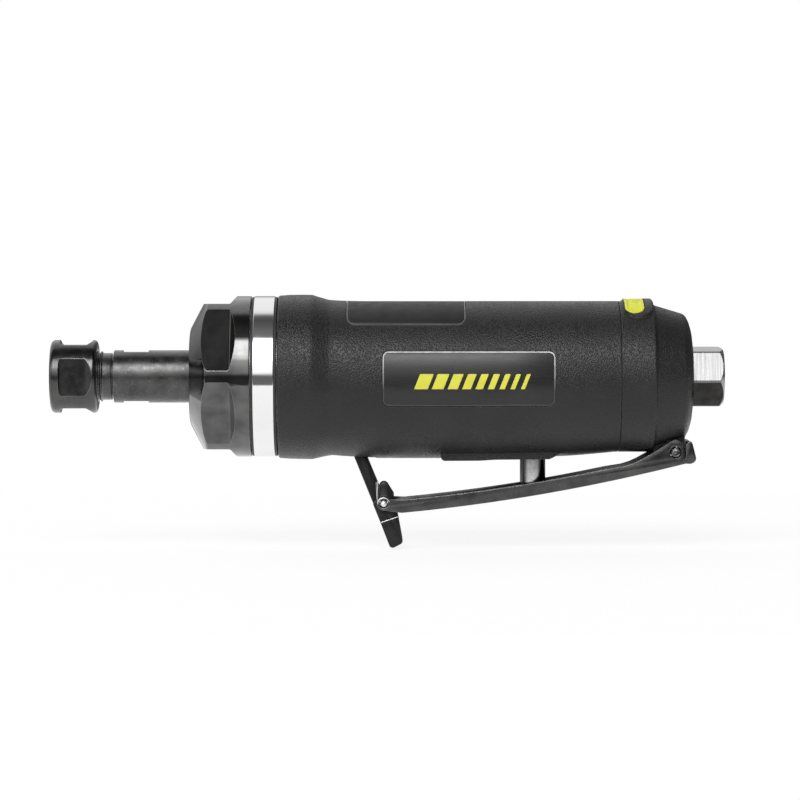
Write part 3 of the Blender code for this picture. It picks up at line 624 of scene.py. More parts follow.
LOOKS = {
    "black_oxide": black_oxide("black_oxide"),
    "polished_chrome": polished_chrome("polished_chrome"),
    "bright_steel": turned_steel("bright_steel"),
    "bearing_steel": turned_steel("bearing_steel", shade=0.7, rough=0.16, lines=0.001),
    "composite": composite("composite"),
    "pad_rubber": pad_rubber("pad_rubber"),
    "plate": satin_plate("plate"),
    "badge_yellow": moulded_yellow("badge_yellow", (0.72, 0.75, 0.008), (0.80, 0.83, 0.02)),
    # machined light alloy inside the tool
    "cast_alloy": grained("cast_alloy", (0.4, 3.0, (1, 40, 40)), (0.3, 0.7),
                          (0.50, 0.51, 0.52), (0.66, 0.67, 0.68), (2.0, 4.0, 0.34, 0.52),
                          None, 0.006, metallic=1.0),
    # turned brass, tarnished in patches
    "brass": grained("brass", (1.8, 4.0), (0.4, 0.7), (0.80, 0.60, 0.27), (0.48, 0.34, 0.16),
                     (0.9, 3.0, 0.22, 0.42), (0.25, 2.0, (1, 30, 30)), 0.004,
                     metallic=1.0),
    "seal_rubber": grained("seal_rubber", (2.0, 3.0), (0.0, 1.0), (0.016, 0.016, 0.017),
                           (0.030, 0.030, 0.031), (0.6, 3.0, 0.42, 0.62), (0.3, 2.0), 0.006,
                           specular=0.45),
    "felt": pressed_felt("felt"),
    # resin laid in thin sheets
    "phenolic": grained("phenolic", (0.14, 2.0, (60, 1, 60)), (0.35, 0.65),
                        (0.16, 0.075, 0.03), (0.30, 0.16, 0.07), (0.8, 3.0, 0.40, 0.60),
                        None, 0.006, specular=0.4),
    # drawn wire and sheet
    "spring_steel": grained("spring_steel", (0.15, 2.0, (8, 8, 1)), (0.3, 0.7),
                            (0.30, 0.29, 0.28), (0.52, 0.51, 0.50), (0.5, 3.0, 0.20, 0.36),
                            None, 0.002, metallic=1.0),
}


def dress_cad_nodes():
    """Give every CAD node the finish of its material slot."""
    for entry in frame["record"]["subparts"]:
        node = frame["nodes"][entry["node"]]
        node.data.materials.clear()
        node.data.materials.append(LOOKS[entry["material_slot"]])


# ---- collet end

def make_collet_nut():
    """Flanged nut with four flats. Its flanges are rounded over."""
    x, end, r = NUT.front, NUT.rear, NUT.radius
    bore = 7.1
    outline = [(x, 4.7), (x + 0.5, 4.2), (x + 1.7, 4.2), (x + 4.2, 6.3), (x + 4.6, bore),
               (end - 0.4, bore), (end, 7.4), (end, r - 0.9), (end - 0.25, r - 0.3),
               (end - 0.8, r), (x + 1.0, r), (x + 0.35, r - 0.3), (x, r - 1.0)]
    nut = turned("collet_nut_skin", softened(outline, 0.45), sides=NUT_ROUND)
    flat = [(x + 2.85, 8.35), (end - 2.9, 8.35), (end - 1.35, 9.4), (end - 0.9, 10.2),
            (x + 2.35, 10.2), (x + 2.55, 8.8)]
    flats(nut, softened(flat, 0.3), (0, 90, 180, 270), 15.0)
    look = black_oxide("nut_black", shade=0.09, rough=0.21, speck=0.12)
    show(nut, "black_oxide", "collet_nut", "collet_nut", look=look, smooth=18)


def thread(start, end, crest, depth, pitch):
    """A thread's rings, with flattened crests and roots."""
    points = []
    for turn in range(round((end - start) / pitch)):
        x = start + turn * pitch
        points += [(x, crest), (x + 0.14 * pitch, crest), (x + 0.5 * pitch, crest - depth),
                   (x + 0.62 * pitch, crest - depth)]
    return points


def make_collet_body():
    """Spindle shank: thread, relief and a scuffed barrel with two spanner flats."""
    x, end, r = SHANK.front, SHANK.rear, SHANK.radius
    taper = [(x, 5.73), (x + 12.2, 4.32), (x + 12.5, 3.4), (x + 19.9, 3.4), (x + 21.7, 0.0)]
    socket = [(x + 25.9, 0.0), (x + 25.9, 4.2), (end, 4.2)]
    barrel = [(end, r - 0.4), (end - 0.4, r), (x + 11.75, r), (x + 11.6, r - 0.15),
              (x + 11.55, r - 1.3), (x + 11.15, r - 1.3), (x + 11.1, r - 0.75),
              (x + 9.4, r - 0.75)]
    teeth = thread(x + 2.3, x + 9.3, r - 0.25, 0.5, 1.0)[::-1]
    outline = socket + barrel + teeth + [(x + 0.5, r - 0.25), (x, r - 0.7)] + taper
    body = turned("spindle_skin", softened(outline, 0.12, 2), sides=NUT_ROUND)
    for number, side in enumerate((1, -1)):
        low, high = sorted((side * (r - 0.5), side * 9.0))
        cut(body, box(f"spanner_flat_{number}", (x + 14.0, -8, low), (x + 20.9, 8, high)))
    look = black_oxide("spindle_black", shade=0.092, scuff=0.02, rough=0.29, wear=0.6)
    show(body, "black_oxide", "spindle", "collet_body", look=look, smooth=20)


# ---- front nut and ring

def make_clamp_nut():
    x, end, r = CLAMP.front, CLAMP.rear, CLAMP.radius
    end -= 0.2
    outline = [(x, 7.6), (x + 2.5, 7.6), (x + 2.5, 12.7), (x + 7.2, 12.7), (x + 7.2, 18.3),
               (end, 18.3), (end, r - 0.12), (end - 0.12, r), (x + 5.1, r), (x + 4.6, r - 0.3),
               (x + 4.0, r - 1.2), (x + 0.2, 13.0), (x, 12.3)]
    nut = turned("clamp_nut_skin", softened(outline, 0.35))
    flat = [(x + 2.9, 19.25), (x + 10.9, 19.25), (x + 13.0, 22.0), (x + 2.9, 22.0)]
    flats(nut, softened(flat, 0.4), [90 - 31.4 + 60 * i for i in range(6)], 15.0)
    look = black_oxide("clamp_black", shade=0.125, rough=0.05, wear=0.25, speck=0.06)
    show(nut, "black_oxide", "tool_body", "clamp_nut", look=look, smooth=18)


def make_trim_ring():
    x, end, r = RING.front + 0.1, RING.rear - 0.25, RING.radius
    outline = [(x, 18.3), (end, 18.3), (end, r - 0.15), (end - 0.15, r), (x + 0.15, r),
               (x, r - 0.15)]
    band = turned("trim_ring_skin", softened(outline, 0.1), sides=RING_ROUND)
    show(band, "polished_chrome", "tool_body", "trim_ring", smooth=35)


def make_gap_seals():
    """Black sealing rings, sunk a little in the two joints beside the bright ring."""
    for name, x in (("front", RING.front), ("rear", RING.rear)):
        outline = [(x - 0.45, 18.4), (x + 0.35, 18.4), (x + 0.35, RING.radius - 0.22),
                   (x - 0.45, RING.radius - 0.22)]
        seal = turned(f"joint_seal_{name}", softened(outline, 0.1), sides=RING_ROUND)
        show(seal, "seal_rubber", "tool_body")


# ---- grip

# Stations along the grip: x, top and bottom.
GRIP_LINES = (
    (60.6, 21.3, -21.4), (60.9, 21.55, -21.75), (63.6, 21.75, -21.95), (69.6, 21.75, -22.05),
    (70.3, 21.5, -21.9), (74.0, 20.45, -21.1), (75.0, 20.35, -21.15), (78.0, 20.2, -21.4),
    (85.0, 20.1, -21.75), (118.0, 20.1, -21.7), (137.0, 20.1, -21.2), (147.0, 20.1, -20.4),
    (150.0, 20.1, -20.1), (150.4, 19.8, -19.8),
)
GRIP_BORE = 18.3

# Stretches that reach through the grip's skin: across the top, and each side plate's.
TOP = (5, 30)
SIDES = (("near", -30, -10), ("far", 10, 30))


def eased(a, b, c, d, k, t):
    """Column k between stations b and c, on a smooth line that also passes a and d."""
    slope_b = (c[k] - a[k]) / (c[0] - a[0])
    slope_c = (d[k] - b[k]) / (d[0] - b[0])
    run = c[0] - b[0]
    t2, t3 = t * t, t * t * t
    return ((2 * t3 - 3 * t2 + 1) * b[k] + (t3 - 2 * t2 + t) * run * slope_b
            + (3 * t2 - 2 * t3) * c[k] + (t3 - t2) * run * slope_c)


def grip_stations():
    """The stations above with eased ones between them, so that the form has no facets."""
    stations = []
    last = len(GRIP_LINES) - 1
    for i in range(last):
        a, b, c, d = (GRIP_LINES[min(max(i + k, 0), last)] for k in (-1, 0, 1, 2))
        chamfer = i in (0, last - 1)
        steps = 1 if chamfer else max(1, min(8, round((c[0] - b[0]) / 0.6)))
        straight = steps == 1 or i in (1, last - 2)
        for step in range(steps):
            t = step / steps
            point = [b[k] + (c[k] - b[k]) * t for k in range(3)]
            if not straight:
                point[1:] = [eased(a, b, c, d, k, t) for k in (1, 2)]
            stations.append(tuple(point))
    return stations + [GRIP_LINES[-1]]


STATIONS = grip_stations()


def grip_line(x):
    """Radius and height of the centre of the grip's round section at x."""
    for (x0, top0, low0), (x1, top1, low1) in zip(STATIONS, STATIONS[1:]):
        if x <= x1 + 1e-4:
            share = (x - x0) / (x1 - x0)
            top, low = top0 + (top1 - top0) * share, low0 + (low1 - low0) * share
            return (top - low) / 2, (top + low) / 2
    raise ValueError(x)


def grip_solid(name, shrink=0.0, rear=None):
    """The grip's outer form: turned, then each section moved to its own centre."""
    profile = [(x, grip_line(x)[0] - shrink) for x, _, _ in STATIONS]
    if rear is not None:
        profile[-1] = (rear - 0.15, profile[-2][1])
        profile.append((rear, profile[-1][1] - 0.15))
    outline = [(GRIP.front, 0.0)] + profile + [(rear or GRIP.rear, 0.0)]
    shape = baked(turned(name, outline))
    for vert in shape.data.vertices:
        vert.co.z += grip_line(min(vert.co.x / MM, GRIP.rear))[1] * MM
    return shape


def skin_piece(name, outline, start, end, plane, outer, inner):
    """The stretch of the grip's skin inside an outline, between two depths below it."""
    piece = plate(name, outline, start, end, plane=plane)
    if outer is not None:
        cut(piece, grip_solid(f"{name}_outside", outer), "INTERSECT")
    cut(piece, grip_solid(f"{name}_inside", inner))
    return piece


def pad_outline(grow):
    grow += 0.15
    return rounded_box((PAD.front - grow, PAD.near - grow), (PAD.rear + grow, PAD.far + grow),
                       2.0 + grow)


def side_outline(grow):
    return rounded_box((PLATE.front - 0.2 - grow, PLATE.bottom + 0.25 - grow),
                       (PLATE.rear + 0.2 + grow, PLATE.top + 0.8 + grow), 1.6 + grow)


def make_housing():
    housing = grip_solid("grip_skin", rear=CAP.front - 0.06)
    x = PIN.middle_x
    boss = [(x - 24.9, -20.0), (x - 24.4, -21.8), (x - 23.7, -22.2), (x - 14.3, -22.15),
            (x - 10.3, -21.9), (x + 4.2, -21.75), (x + 5.2, -21.3), (x + 7.4, -20.0)]
    cut(housing, plate("boss", softened(boss, 0.4), -7.5, 7.5), "UNION")
    cut(housing, ring("grip_bore", GRIP.front - 2, GRIP.rear + 2, 0.0, GRIP_BORE))
    gap = 0.14
    cut(housing, skin_piece("pad_pocket", pad_outline(gap), *TOP, "XY", None, 1.1))
    for side, start, end in SIDES:
        cut(housing, skin_piece(f"{side}_pocket", side_outline(gap), start, end, "XZ", None, 1.0))
    cut(housing, ring("pin_hole", -26, -15, 0.0, 5.5, axis="Z", centre=(x, 0.0), sides=PIN_ROUND))
    pocket = rounded_box((74.5, -3.7), (86.5, 3.7), 1.0)
    cut(housing, plate("lock_pocket", pocket, -24, -20.2, plane="XY"))
    show(housing, "composite", "tool_body", "housing", smooth=32)


RIM = 0.32                   # width of the thin rims round the inlays
PRINT_FOOT, PRINT_FACE = 0.09, 0.04      # depths of the printed bars below the grip's form


def make_inlay(name, outline, start, end, plane, depths, slot, rim_look):
    """An inlay in the grip's skin: its rounded face inside a thin rim."""
    outer, inner = depths
    face = skin_piece(f"{name}_skin", outline(-RIM), start, end, plane, outer, inner)
    show(rounded_edges(face, 0.2, angle=50, segments=3), slot, "tool_body", name)
    rim = skin_piece(f"{name}_rim", outline(0.0), start, end, plane, outer, inner)
    cut(rim, plate(f"{name}_rim_hollow", outline(-RIM), start - 1, end + 1, plane=plane))
    show(rim, slot, "tool_body", look=rim_look)


def make_inlays():
    make_inlay("top_pad", pad_outline, *TOP, "XY", (0.02, 0.8), "pad_rubber",
               rim_with_painted_highlight("pad_rim", 12.0, 16.0, 0.16))
    look = rim_with_painted_highlight("plate_rim", -3.0, 5.5, 0.62)
    for side, start, end in SIDES:
        make_inlay(f"side_plate_{side}", side_outline, start, end, "XZ", (0.08, 0.7), "plate",
                   look)


def make_print():
    """A row of slanted bars printed on each side plate, thinning out towards the rear."""
    ink = moulded_yellow("print_yellow", (0.66, 0.64, 0.06), (0.73, 0.71, 0.085), grain=0.002)
    height, lean, thinnest = 4.0, 1.6, 0.7
    middle = PLATE.middle_z - 0.2
    low, high = middle - height / 2, middle + height / 2
    start, end = PLATE.front + 8.0, PLATE.rear - 6.0
    for side, near, far in SIDES:
        x, number = start, 0
        width, gap = 3.6, 1.0
        while x + width + lean < end and width >= thinnest:
            bar = [(x, low), (x + width, low), (x + width + lean, high), (x + lean, high)]
            piece = skin_piece(f"print_{side}_{number}", softened(bar, 0.3), near, far, "XZ",
                               PRINT_FACE, PRINT_FOOT)
            show(piece, "badge_yellow", "tool_body", look=ink)
            x += width + gap
            width, gap, number = width * 0.86, gap * 1.06, number + 1


# ---- rear cap and inlet

def badge_outline(grow):
    return rounded_box((BADGE.front + 0.35 - grow, BADGE.near - grow),
                       (BADGE.rear - 0.9 + grow, BADGE.far + grow), 2.4 + grow, 8)


def make_rear_cap():
    x, end = CAP.front, CAP.rear + 0.55
    r = 20.1
    outline = [(x, 19.3), (x + 1.2, 19.3), (x + 1.2, 18.0), (x + 8.0, 18.0), (x + 9.2, 17.5),
               (x + 16.9, 14.4), (x + 16.9, 7.25), (end, 7.25), (end, 10.0), (end - 0.35, 12.6),
               (end - 1.0, 14.8), (end - 1.7, 16.1), (end - 2.4, 16.7), (x + 9.7, 18.95),
               (x + 9.35, 19.2), (x + 9.1, r - 0.2), (x + 8.8, r), (x + 0.12, r), (x, r - 0.12)]
    cap = turned("rear_cap_skin", softened(outline, 0.4))
    pivot_x, pivot_z = LEVER_PIN.middle_x, LEVER_PIN.middle_z
    lug = ([(x + 9.2, -18.3), (x + 10.2, -20.8), (x + 12.2, -21.9)]
           + arc((pivot_x, pivot_z), 2.2, 260, 360, 8) + [(x + 17.6, -15.6)])
    cut(cap, plate("lug", lug, -5.2, 5.2), "UNION")
    frame_edge = rounded_box((x + 1.0, -12.5), (x + 9.0, 12.5), 3.6, 8)
    raised = plate("badge_frame", frame_edge, 8, 30, plane="XY")
    dome = [(x - 1, 0), (x - 1, 20.3), (x + 0.9, 20.3), (x + 1.5, CAP.top), (x + 8.5, CAP.top),
            (x + 9.0, 20.3), (x + 11, 20.3), (x + 11, 0)]
    cut(raised, turned("badge_frame_outside", dome), "INTERSECT")
    cut(raised, ring("badge_frame_inside", x - 2, x + 12, 0.0, 19.0))
    cut(cap, raised, "UNION")
    pocket = plate("badge_pocket", badge_outline(0.2), 8, 30, plane="XY")
    cut(pocket, ring("badge_pocket_floor", x - 2, x + 12, 0.0, 19.7))
    cut(cap, pocket)
    for side, low, high in (("near", -8.3, -5.2), ("far", 5.2, 8.3)):
        cut(cap, box(f"ear_room_{side}", (x + 12.5, low, -24), (x + 21, high, -16.4)))
    drill(cap, (pivot_x, pivot_z), 1.55, sides=32)
    slot = rounded_box((9.4, -1.1), (13.6, 1.1), 1.0, 4)
    stand = Matrix(((0, 0, 1, 0), (0, 1, 0, 0), (1, 0, 0, 0), (0, 0, 0, 1)))
    for number in range(9):  # a tenth slot would open into the lever's lug
        tool = plate(f"exhaust_slot_{number}", slot, x + 16, x + 20, plane="XY")
        turn = Matrix.Rotation(math.radians(36 * number + 216), 4, "X")
        tool.data.transform(turn @ stand)
        tool.data.flip_normals()
        cut(cap, tool)
    show(cap, "composite", "tool_body", "rear_cap", smooth=32)


def make_badge():
    """Yellow insert with a plain raised rim and a row of short ribs across the top."""
    x = BADGE.middle_x
    start, end, top = x - 5, x + 5, 20.75
    insert = plate("badge_skin", badge_outline(0.0), 8, 30, plane="XY")
    between(insert, start, end, 20.55, 20.05)
    rim = plate("badge_rim", badge_outline(0.0), 8, 30, plane="XY")
    cut(rim, plate("badge_rim_hollow", badge_outline(-0.7), 7, 31, plane="XY"))
    cut(insert, between(rim, start, end, top, 20.1), "UNION")
    for number in range(-2, 3):
        y = number * 2.6
        edge = rounded_box((x - 1.5, y - 0.4), (x + 1.0, y + 0.4), 0.38)
        rib = plate(f"badge_rib_{number}", edge, 8, 30, plane="XY")
        cut(insert, between(rib, start, end, top, 20.2), "UNION")
    show(insert, "badge_yellow", "tool_body", "badge_insert")


def make_inlet():
    """Hexagonal inlet with a threaded mouth and a chamfered end."""
    x, end = INLET.front, INLET.rear
    hex_front, bore, corner = CAP.rear + 0.65, 5.72, 8.38
    teeth = thread(end - 6.6, end - 0.9, bore + 0.05, 0.62, 1.41)
    bored = [(a, 2 * bore - b) for a, b in teeth]
    inside = [(x, 4.6), (x + 6.6, 4.6), (x + 7.3, bore), (hex_front, bore)] + bored
    outside = [(end, 7.0), (end - 0.4, 7.5), (end - 1.15, corner), (hex_front, corner),
               (hex_front, 6.9), (x + 4.3, 6.9), (x + 4.3, 5.9), (x + 1.7, 5.9), (x + 1.7, 6.9),
               (x, 6.9)]
    mouth = [(end - 0.7, bore), (end, 6.35)]
    bushing = turned("inlet_skin", inside + mouth + outside, sides=NUT_ROUND)
    flat = [(hex_front - 0.15, 7.4), (end + 1.0, 7.4), (end + 1.0, 9.5), (hex_front - 0.15, 9.5)]
    flats(bushing, flat, [90 - 22 + 60 * i for i in range(6)], 8.0)
    show(bushing, "bright_steel", "tool_body", "inlet_bushing", look=hex_steel("hex_steel"),
         smooth=20)


# ---- throttle and lever

def make_pin_bushing():
    """Guide of the throttle pin, chamfered at its mouth, flush with the boss under the grip."""
    x, top, r = PIN.middle_x, BUSHING.top, BUSHING.radius
    low, bore = BUSHING.bottom + 0.35, PIN.radius + 0.05
    outline = [(low, bore + 0.4), (low + 0.4, bore), (top, bore), (top, r), (low + 0.25, r),
               (low, r - 0.25)]
    bushing = turned("pin_bushing_skin", outline, sides=SMALL_ROUND, axis="Z", centre=(x, 0.0))
    look = black_oxide("bushing_black", shade=0.05, rough=0.35, wear=0.6)
    show(bushing, "brass", "tool_body", "pin_bushing", look=look, smooth=30)


def make_throttle_pin():
    x, low, r = PIN.middle_x, PIN.bottom, PIN.radius
    outline = [(low, 0.0), (low, 0.8), (low + 0.2, 1.7), (low + 0.6, 2.6), (low + 1.3, 3.25),
               (low + 1.7, r), (-11.2, r), (-11.2, 2.4), (-9.6, 2.4), (-9.6, r), (-8.6, r),
               (-8.2, 1.2), (-1.65, 1.2), (-1.65, 0.0)]
    pin = turned("throttle_pin_skin", softened(outline, 0.3), sides=SMALL_ROUND, axis="Z",
                 centre=(x, 0.0))
    show(pin, "polished_chrome", "throttle_pin", "throttle_pin",
         look=ground_steel("ground_steel"))


LEVER_FRONT = 93.4
LEVER_HALF, LEVER_INNER = 7.5, 6.3       # half widths of the channel outside and inside
EAR_END = 168.5              # the heel's upturned end stands just behind the ears


def lever_line(x):
    """Height of the underside of the lever's channel, a gentle upward curve."""
    run = x - LEVER_FRONT
    return -36.0 + 0.0940 * run + 0.00106 * run * run


def lever_curve(start, end, lift=0.0, steps=40):
    """Points along the lever's underside, or lifted off it."""
    spots = [start + (end - start) * i / steps for i in range(steps + 1)]
    return [(x, lever_line(x) + lift) for x in spots]


def make_lever():
    """Pressed steel channel, forked in front, with ears for the pivot and an upturned heel."""
    height, sheet, floor_front, heel_foot = 3.4, 1.2, 100.5, 168.6
    lock = (LOCK_PIN.middle_x, LOCK_PIN.middle_z)
    under = lever_curve(LEVER_FRONT, heel_foot)
    heel = [(169.9, -23.0), (170.7, -22.7), (171.3, -22.1), (171.4, -21.4), (170.5, -17.8),
            (170.2, -17.2), (169.7, -17.0), (169.2, -17.2), (168.95, -17.8)]
    ear = [(167.7, -17.5), (167.1, -16.9), (166.2, -16.6), (165.3, -16.7), (164.4, -17.2),
           (161.9, -18.85), (159.2, -20.5), (156.6, -21.95), (154.6, -22.9), (152.2, -23.65)]
    over = [(x, lever_line(x) + height) for x in range(148, 92, -3)]
    tip = arc(lock, 1.8, 45, 255, 16)
    lever = plate("lever_skin", under + heel + ear + over + tip, -LEVER_HALF, LEVER_HALF)
    floor = lever_curve(floor_front, heel_foot - 1.0, sheet)
    hollow = ([(80.0, -50.0), (floor_front, -50.0)] + floor
              + [(169.9, -21.5), (168.7, -17.0), (168.7, -8.0), (80.0, -8.0)])
    cut(lever, plate("lever_hollow", hollow, -LEVER_INNER, LEVER_INNER))
    slit = [(EAR_END - 0.15, -21.6), (EAR_END + 0.2, -21.6), (EAR_END + 0.2, -12.0),
            (EAR_END - 0.15, -12.0)]
    cut(lever, plate("lever_slit", slit, -9, 9))
    drill(lever, (LEVER_PIN.middle_x, LEVER_PIN.middle_z), 1.55)
    drill(lever, lock, 1.2)
    look = black_oxide("lever_black", shade=0.088, rough=0.22, wear=0.55, speck=0.1)
    show(rounded_edges(lever, 0.2, angle=40), "black_oxide", "lever", "lever", look=look)


def make_lock():
    """Lock-off tab: a thumb piece below the pin, an arm up into the grip and two cheeks."""
    x, z, half = LOCK_PIN.middle_x, LOCK_PIN.middle_z, 5.6
    tab = ([(85.7, -33.8), (87.6, -38.5)] + arc((90.95, -44.4), 1.0, 200, 290, 6)
           + arc((92.5, -43.5), 1.1, 300, 370, 6) + [(92.3, -36.5), (90.9, -33.9)]
           + arc((x, z), 2.1, 10, 140, 10))
    lock = plate("lock_tab_skin", tab, -half, half)
    arm = [(86.0, -34.4), (80.8, -21.6), (80.6, -20.8), (83.9, -20.8), (84.35, -21.8),
           (87.5, -29.4), (89.6, -33.0)]
    cut(lock, plate("lock_arm", softened(arm, 0.4), -3.0, 3.0), "UNION")
    cheek = ([(87.0, -33.0), (87.3, -29.5)] + arc((88.6, -29.4), 1.25, 170, 30, 8)
             + [(91.3, -31.4), (91.1, -33.4)])
    for low in (-half + 0.02, half - 0.98):  # just inside the sides, so no faces coincide
        cut(lock, plate("lock_cheek", cheek, low, low + 0.96), "UNION")
    cut(lock, ring("spring_room", -4.5, -3.0, 0.0, 2.9, sides=40, axis="Y", centre=(x, z)))
    drill(lock, (x, z), 1.2)
    look = black_oxide("lock_black", shade=0.034, rough=0.28, wear=0.5, speck=0.06)
    show(rounded_edges(lock, 0.25, angle=40), "black_oxide", "lock_tab", "lock_tab", look=look)
    # A thin bright wire along the bend on each side: the bend is real, its bright line is a
    # painted highlight.
    for side, y in (("near", -half - 0.05), ("far", half + 0.05)):
        bend_highlight = [(87.85, y, -38.68), (92.35, y, -37.1)]
        show(wire(f"lock_fold_{side}", bend_highlight, 0.14), "bright_steel", "lock_tab")


def make_spring_hook():
    """The spring's outer end, bent over the lock pin's head on the near side."""
    x, z = LOCK_PIN.middle_x, LOCK_PIN.middle_z
    y = -LEVER_HALF - 0.22
    leg = [(x - 1.55, y, z + 6.0), (x - 1.75, y, z + 2.6)]
    bend = [(a, y, b) for a, b in arc((x, z), 1.6, 185, 20, 20)]
    show(wire("lock_spring_hook", leg + bend, 0.18), "spring_steel", "lock_tab",
         look=LOOKS["bright_steel"])


def make_spring_pin():
    """Rolled spring pin: a tube with an open seam, seen end on in the lever's ears."""
    x, z, half, r = (LEVER_PIN.middle_x, LEVER_PIN.middle_z, LEVER_PIN.far, 1.25)
    outline = [(-half, r - 0.5), (half, r - 0.5), (half, r - 0.2), (half - 0.3, r),
               (0.3 - half, r), (-half, r - 0.2)]
    pin = turned("lever_pin_skin", softened(outline, 0.1, 2), sides=PIN_ROUND, axis="Y",
                 centre=(x, z))
    cut(pin, box("lever_pin_seam", (x, -half - 1, z - 0.22), (x + 2, half + 1, z + 0.22)))
    look = black_oxide("pin_black", shade=0.16, rough=0.2, wear=0.6)
    show(pin, "bright_steel", "tool_body", "lever_pin", look=look)


def make_lock_rivet():
    """Lock pin with small domed ends."""
    x, z, half, r = (LOCK_PIN.middle_x, LOCK_PIN.middle_z, LOCK_PIN.far, 0.9)
    dome = [(half - 0.42, 0.8), (half - 0.22, 0.6), (half - 0.08, 0.36), (half - 0.01, 0.14)]
    outline = [(0.0, r), (half - 0.55, r), *dome, (half, 0.0)]
    outline = ([(-a, b) for a, b in outline[:0:-1]] + outline)
    pin = turned("lock_pin_skin", outline, sides=PIN_ROUND, axis="Y", centre=(x, z))
    look = turned_steel("rivet_steel", shade=0.85, rough=0.42, lines=0.001)
    show(pin, "bright_steel", "lever", "lock_pin", look=look, smooth=50)


def make_lock_spring():
    """Torsion spring round the lock pin: a coil beside the arm and one straight leg."""
    x, z = LOCK_PIN.middle_x, LOCK_PIN.middle_z
    radius, turns, steps, thick = 1.75, 1.75, 24, 0.2
    first, last = -3.48, -4.12           # the coil runs outwards from beside the arm
    count = round(turns * steps)
    coil = []
    for step in range(count + 1):
        angle = math.radians(180.0) - 2 * math.pi * step / steps
        coil.append((x + radius * math.cos(angle), first + (last - first) * step / count,
                     z + radius * math.sin(angle)))
    leg = [(x - 1.95, first, z + 5.57), (x - 1.85, first, z + 2.57)]
    show(wire("lock_spring_skin", leg + coil, thick), "spring_steel", "lock_tab", "lock_spring")


# ---- studio

def make_floor():
    """A pale sheet under the tool. Beyond its edge the studio itself is pale."""
    sheet = rounded_box((-160, -240), (340, 240), 60)
    floor = plate("floor", sheet, -1.0, 0.0, plane="XY")
    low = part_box("lock_tab")[0].z - 0.0003
    floor.data.transform(Matrix.Translation((AXIS.x, 0.0, low)))
    look = Finish("floor", specular=0.1)
    paper = look.range(look.noise(6.0, 4.0))
    look.paint(paper, 0.15, 0.165)
    look.set("Roughness", 0.9)
    look.set("Emission Color", 1.0)
    look.set("Emission Strength", 0.86)
    floor.data.materials.append(look.done())


# Brightness of the room by height above the viewer's horizon, in degrees: over the top to the
# horizon behind the tool, and round under it.
ROOM = (
    (-180, 0.20), (-172, 0.25), (-160, 0.9), (-13, 0.92), (-10, 0.14), (2, 0.12), (5, 0.5),
    (20, 0.6), (55, 0.5), (58, 0.24), (64, 0.16), (80, 0.10), (90, 0.07), (97, 0.11),
    (101, 0.3), (105, 0.75), (112, 0.9), (150, 0.95), (162, 0.6), (172, 0.25), (180, 0.20),
)
# The soft box over the front.
SOFT_BOX = (
    (-180, 0.0), (4, 0.0), (6, 0.5), (15, 0.8), (24, 1.3), (28, 4.0), (34, 5.6), (46, 5.6),
    (53, 4.6), (56, 1.0), (58, 0.1), (60, 0.0), (180, 0.0),
)
# How much of each is left, by angle to the side, from left to right.
ROOM_SIDES = ((-90, 1.0), (6, 1.0), (18, 0.35), (40, 0.14), (90, 0.14))
BOX_SIDES = ((-90, 0.3), (-60, 0.3), (-35, 0.4), (-24, 0.75), (-14, 1.0), (3, 1.0), (4, 0.8),
             (5.5, 0.32), (10, 0.12), (24, 0.02), (90, 0.0))


class Sky(Graph):
    """The world's nodes."""

    def curve(self, source, reach, points):
        """Read a line of (degrees, value) points at an angle, from -reach to reach radians."""
        top = max(value for _, value in points)
        share = self.maths("DIVIDE", self.maths("ADD", source, reach), 2 * reach)
        node = self.add("ShaderNodeFloatCurve")
        self.feed(node.inputs["Value"], share)
        curve = node.mapping.curves[0]
        places = [(math.radians(at) / (2 * reach) + 0.5, value / top) for at, value in points]
        curve.points[0].location, curve.points[1].location = places[0], places[-1]
        for place in places[1:-1]:
            curve.points.new(*place)
        for point in curve.points:
            point.handle_type = "VECTOR"
        node.mapping.update()
        return self.times(node.outputs["Value"], top)


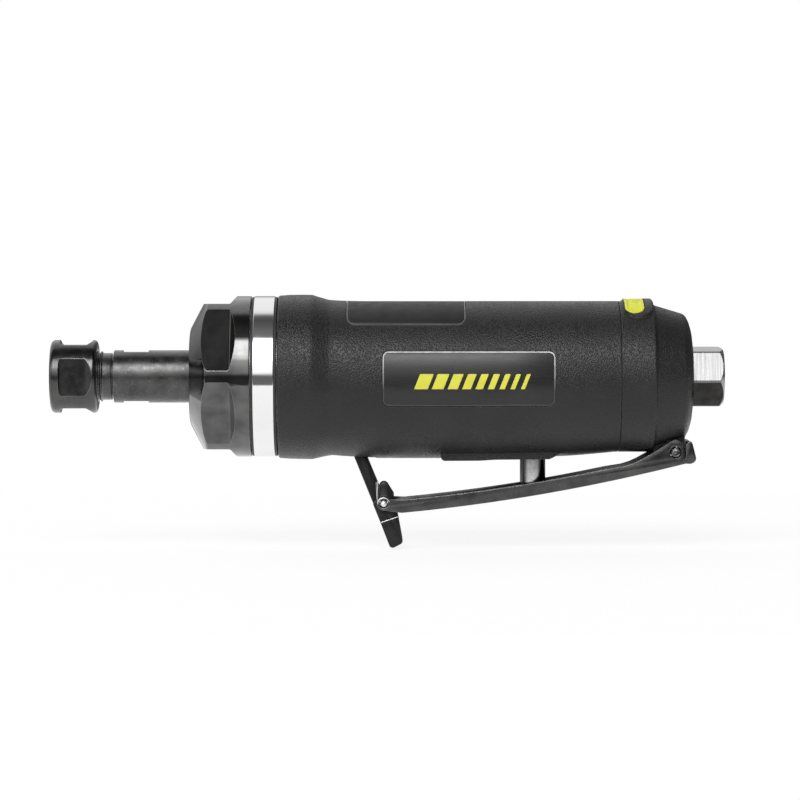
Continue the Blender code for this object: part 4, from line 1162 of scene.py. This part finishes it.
def make_studio():
    """A soft box over the front, a dark gap at the viewer and a pale room behind."""
    world = bpy.data.worlds.new("studio")
    bpy.context.scene.world = world
    world.use_nodes = True
    sky = Sky(world.node_tree)
    x, y, z = sky.split(sky.add("ShaderNodeTexCoord").outputs["Generated"])
    height = sky.maths("ARCTAN2", z, sky.times(y, -1.0))
    side = sky.maths("ARCSINE", x)
    room = sky.curve(height, math.pi, ROOM)
    room_fade = sky.curve(side, math.pi / 2, ROOM_SIDES)
    upper = sky.maths("GREATER_THAN", z, 0.0)
    kept = sky.maths("ADD", sky.times(room_fade, upper),
                     sky.maths("SUBTRACT", 1.0, upper))
    box_light = sky.times(sky.curve(height, math.pi, SOFT_BOX),
                          sky.curve(side, math.pi / 2, BOX_SIDES))
    level = sky.maths("ADD", sky.times(room, kept), box_light)
    seen = sky.add("ShaderNodeLightPath").outputs["Is Camera Ray"]
    hidden = sky.times(level, sky.maths("SUBTRACT", 1.0, seen))
    background = sky.tree.nodes["Background"]
    sky.feed(background.inputs["Strength"], sky.maths("ADD", hidden, seen))
    sky.feed(background.inputs["Color"], 1.0)


def aimed(name, data, place, target):
    """Stand a lamp or a camera at a place, turned towards a target."""
    holder = shape_from(name, data)
    holder.location = place
    holder.rotation_mode = "QUATERNION"
    holder.rotation_quaternion = (target - place).to_track_quat("-Z", "Y")
    return holder


def make_light():
    """One large soft lamp high over the front, for gentle shading on the matt parts."""
    lamp = bpy.data.lights.new("soft_lamp", "AREA")
    lamp.shape = "RECTANGLE"
    lamp.size, lamp.size_y = 0.9, 0.5
    lamp.energy = 0.8
    aimed("soft_lamp", lamp, AXIS + Vector((0.02, -0.75, 0.75)), AXIS + Vector((0.09, 0, 0)))


def make_camera():
    """A long lens level with the tool, a little above its axis."""
    camera = bpy.data.cameras.new("camera")
    camera.sensor_width = 36.0
    distance, width = 1000.0, 213.33     # millimetres; width is what the frame spans there
    camera.lens = camera.sensor_width * distance / width
    camera.clip_start, camera.clip_end = 0.05, 50.0
    eye, target = Vector((90.2, -distance, 30.0)), Vector((92.9, 0.0, -6.3))
    bpy.context.scene.camera = aimed("camera", camera, AXIS + eye * MM, AXIS + target * MM)
    bpy.context.scene.view_settings.view_transform = "Standard"
    bpy.context.scene.cycles.use_denoising = True


dress_cad_nodes()
make_collet_nut()
make_collet_body()
make_clamp_nut()
make_trim_ring()
make_gap_seals()
make_housing()
make_inlays()
make_print()
make_rear_cap()
make_badge()
make_inlet()
make_pin_bushing()
make_throttle_pin()
make_lever()
make_lock()
make_spring_pin()
make_lock_rivet()
make_lock_spring()
make_spring_hook()
make_floor()
make_studio()
make_light()
make_camera()
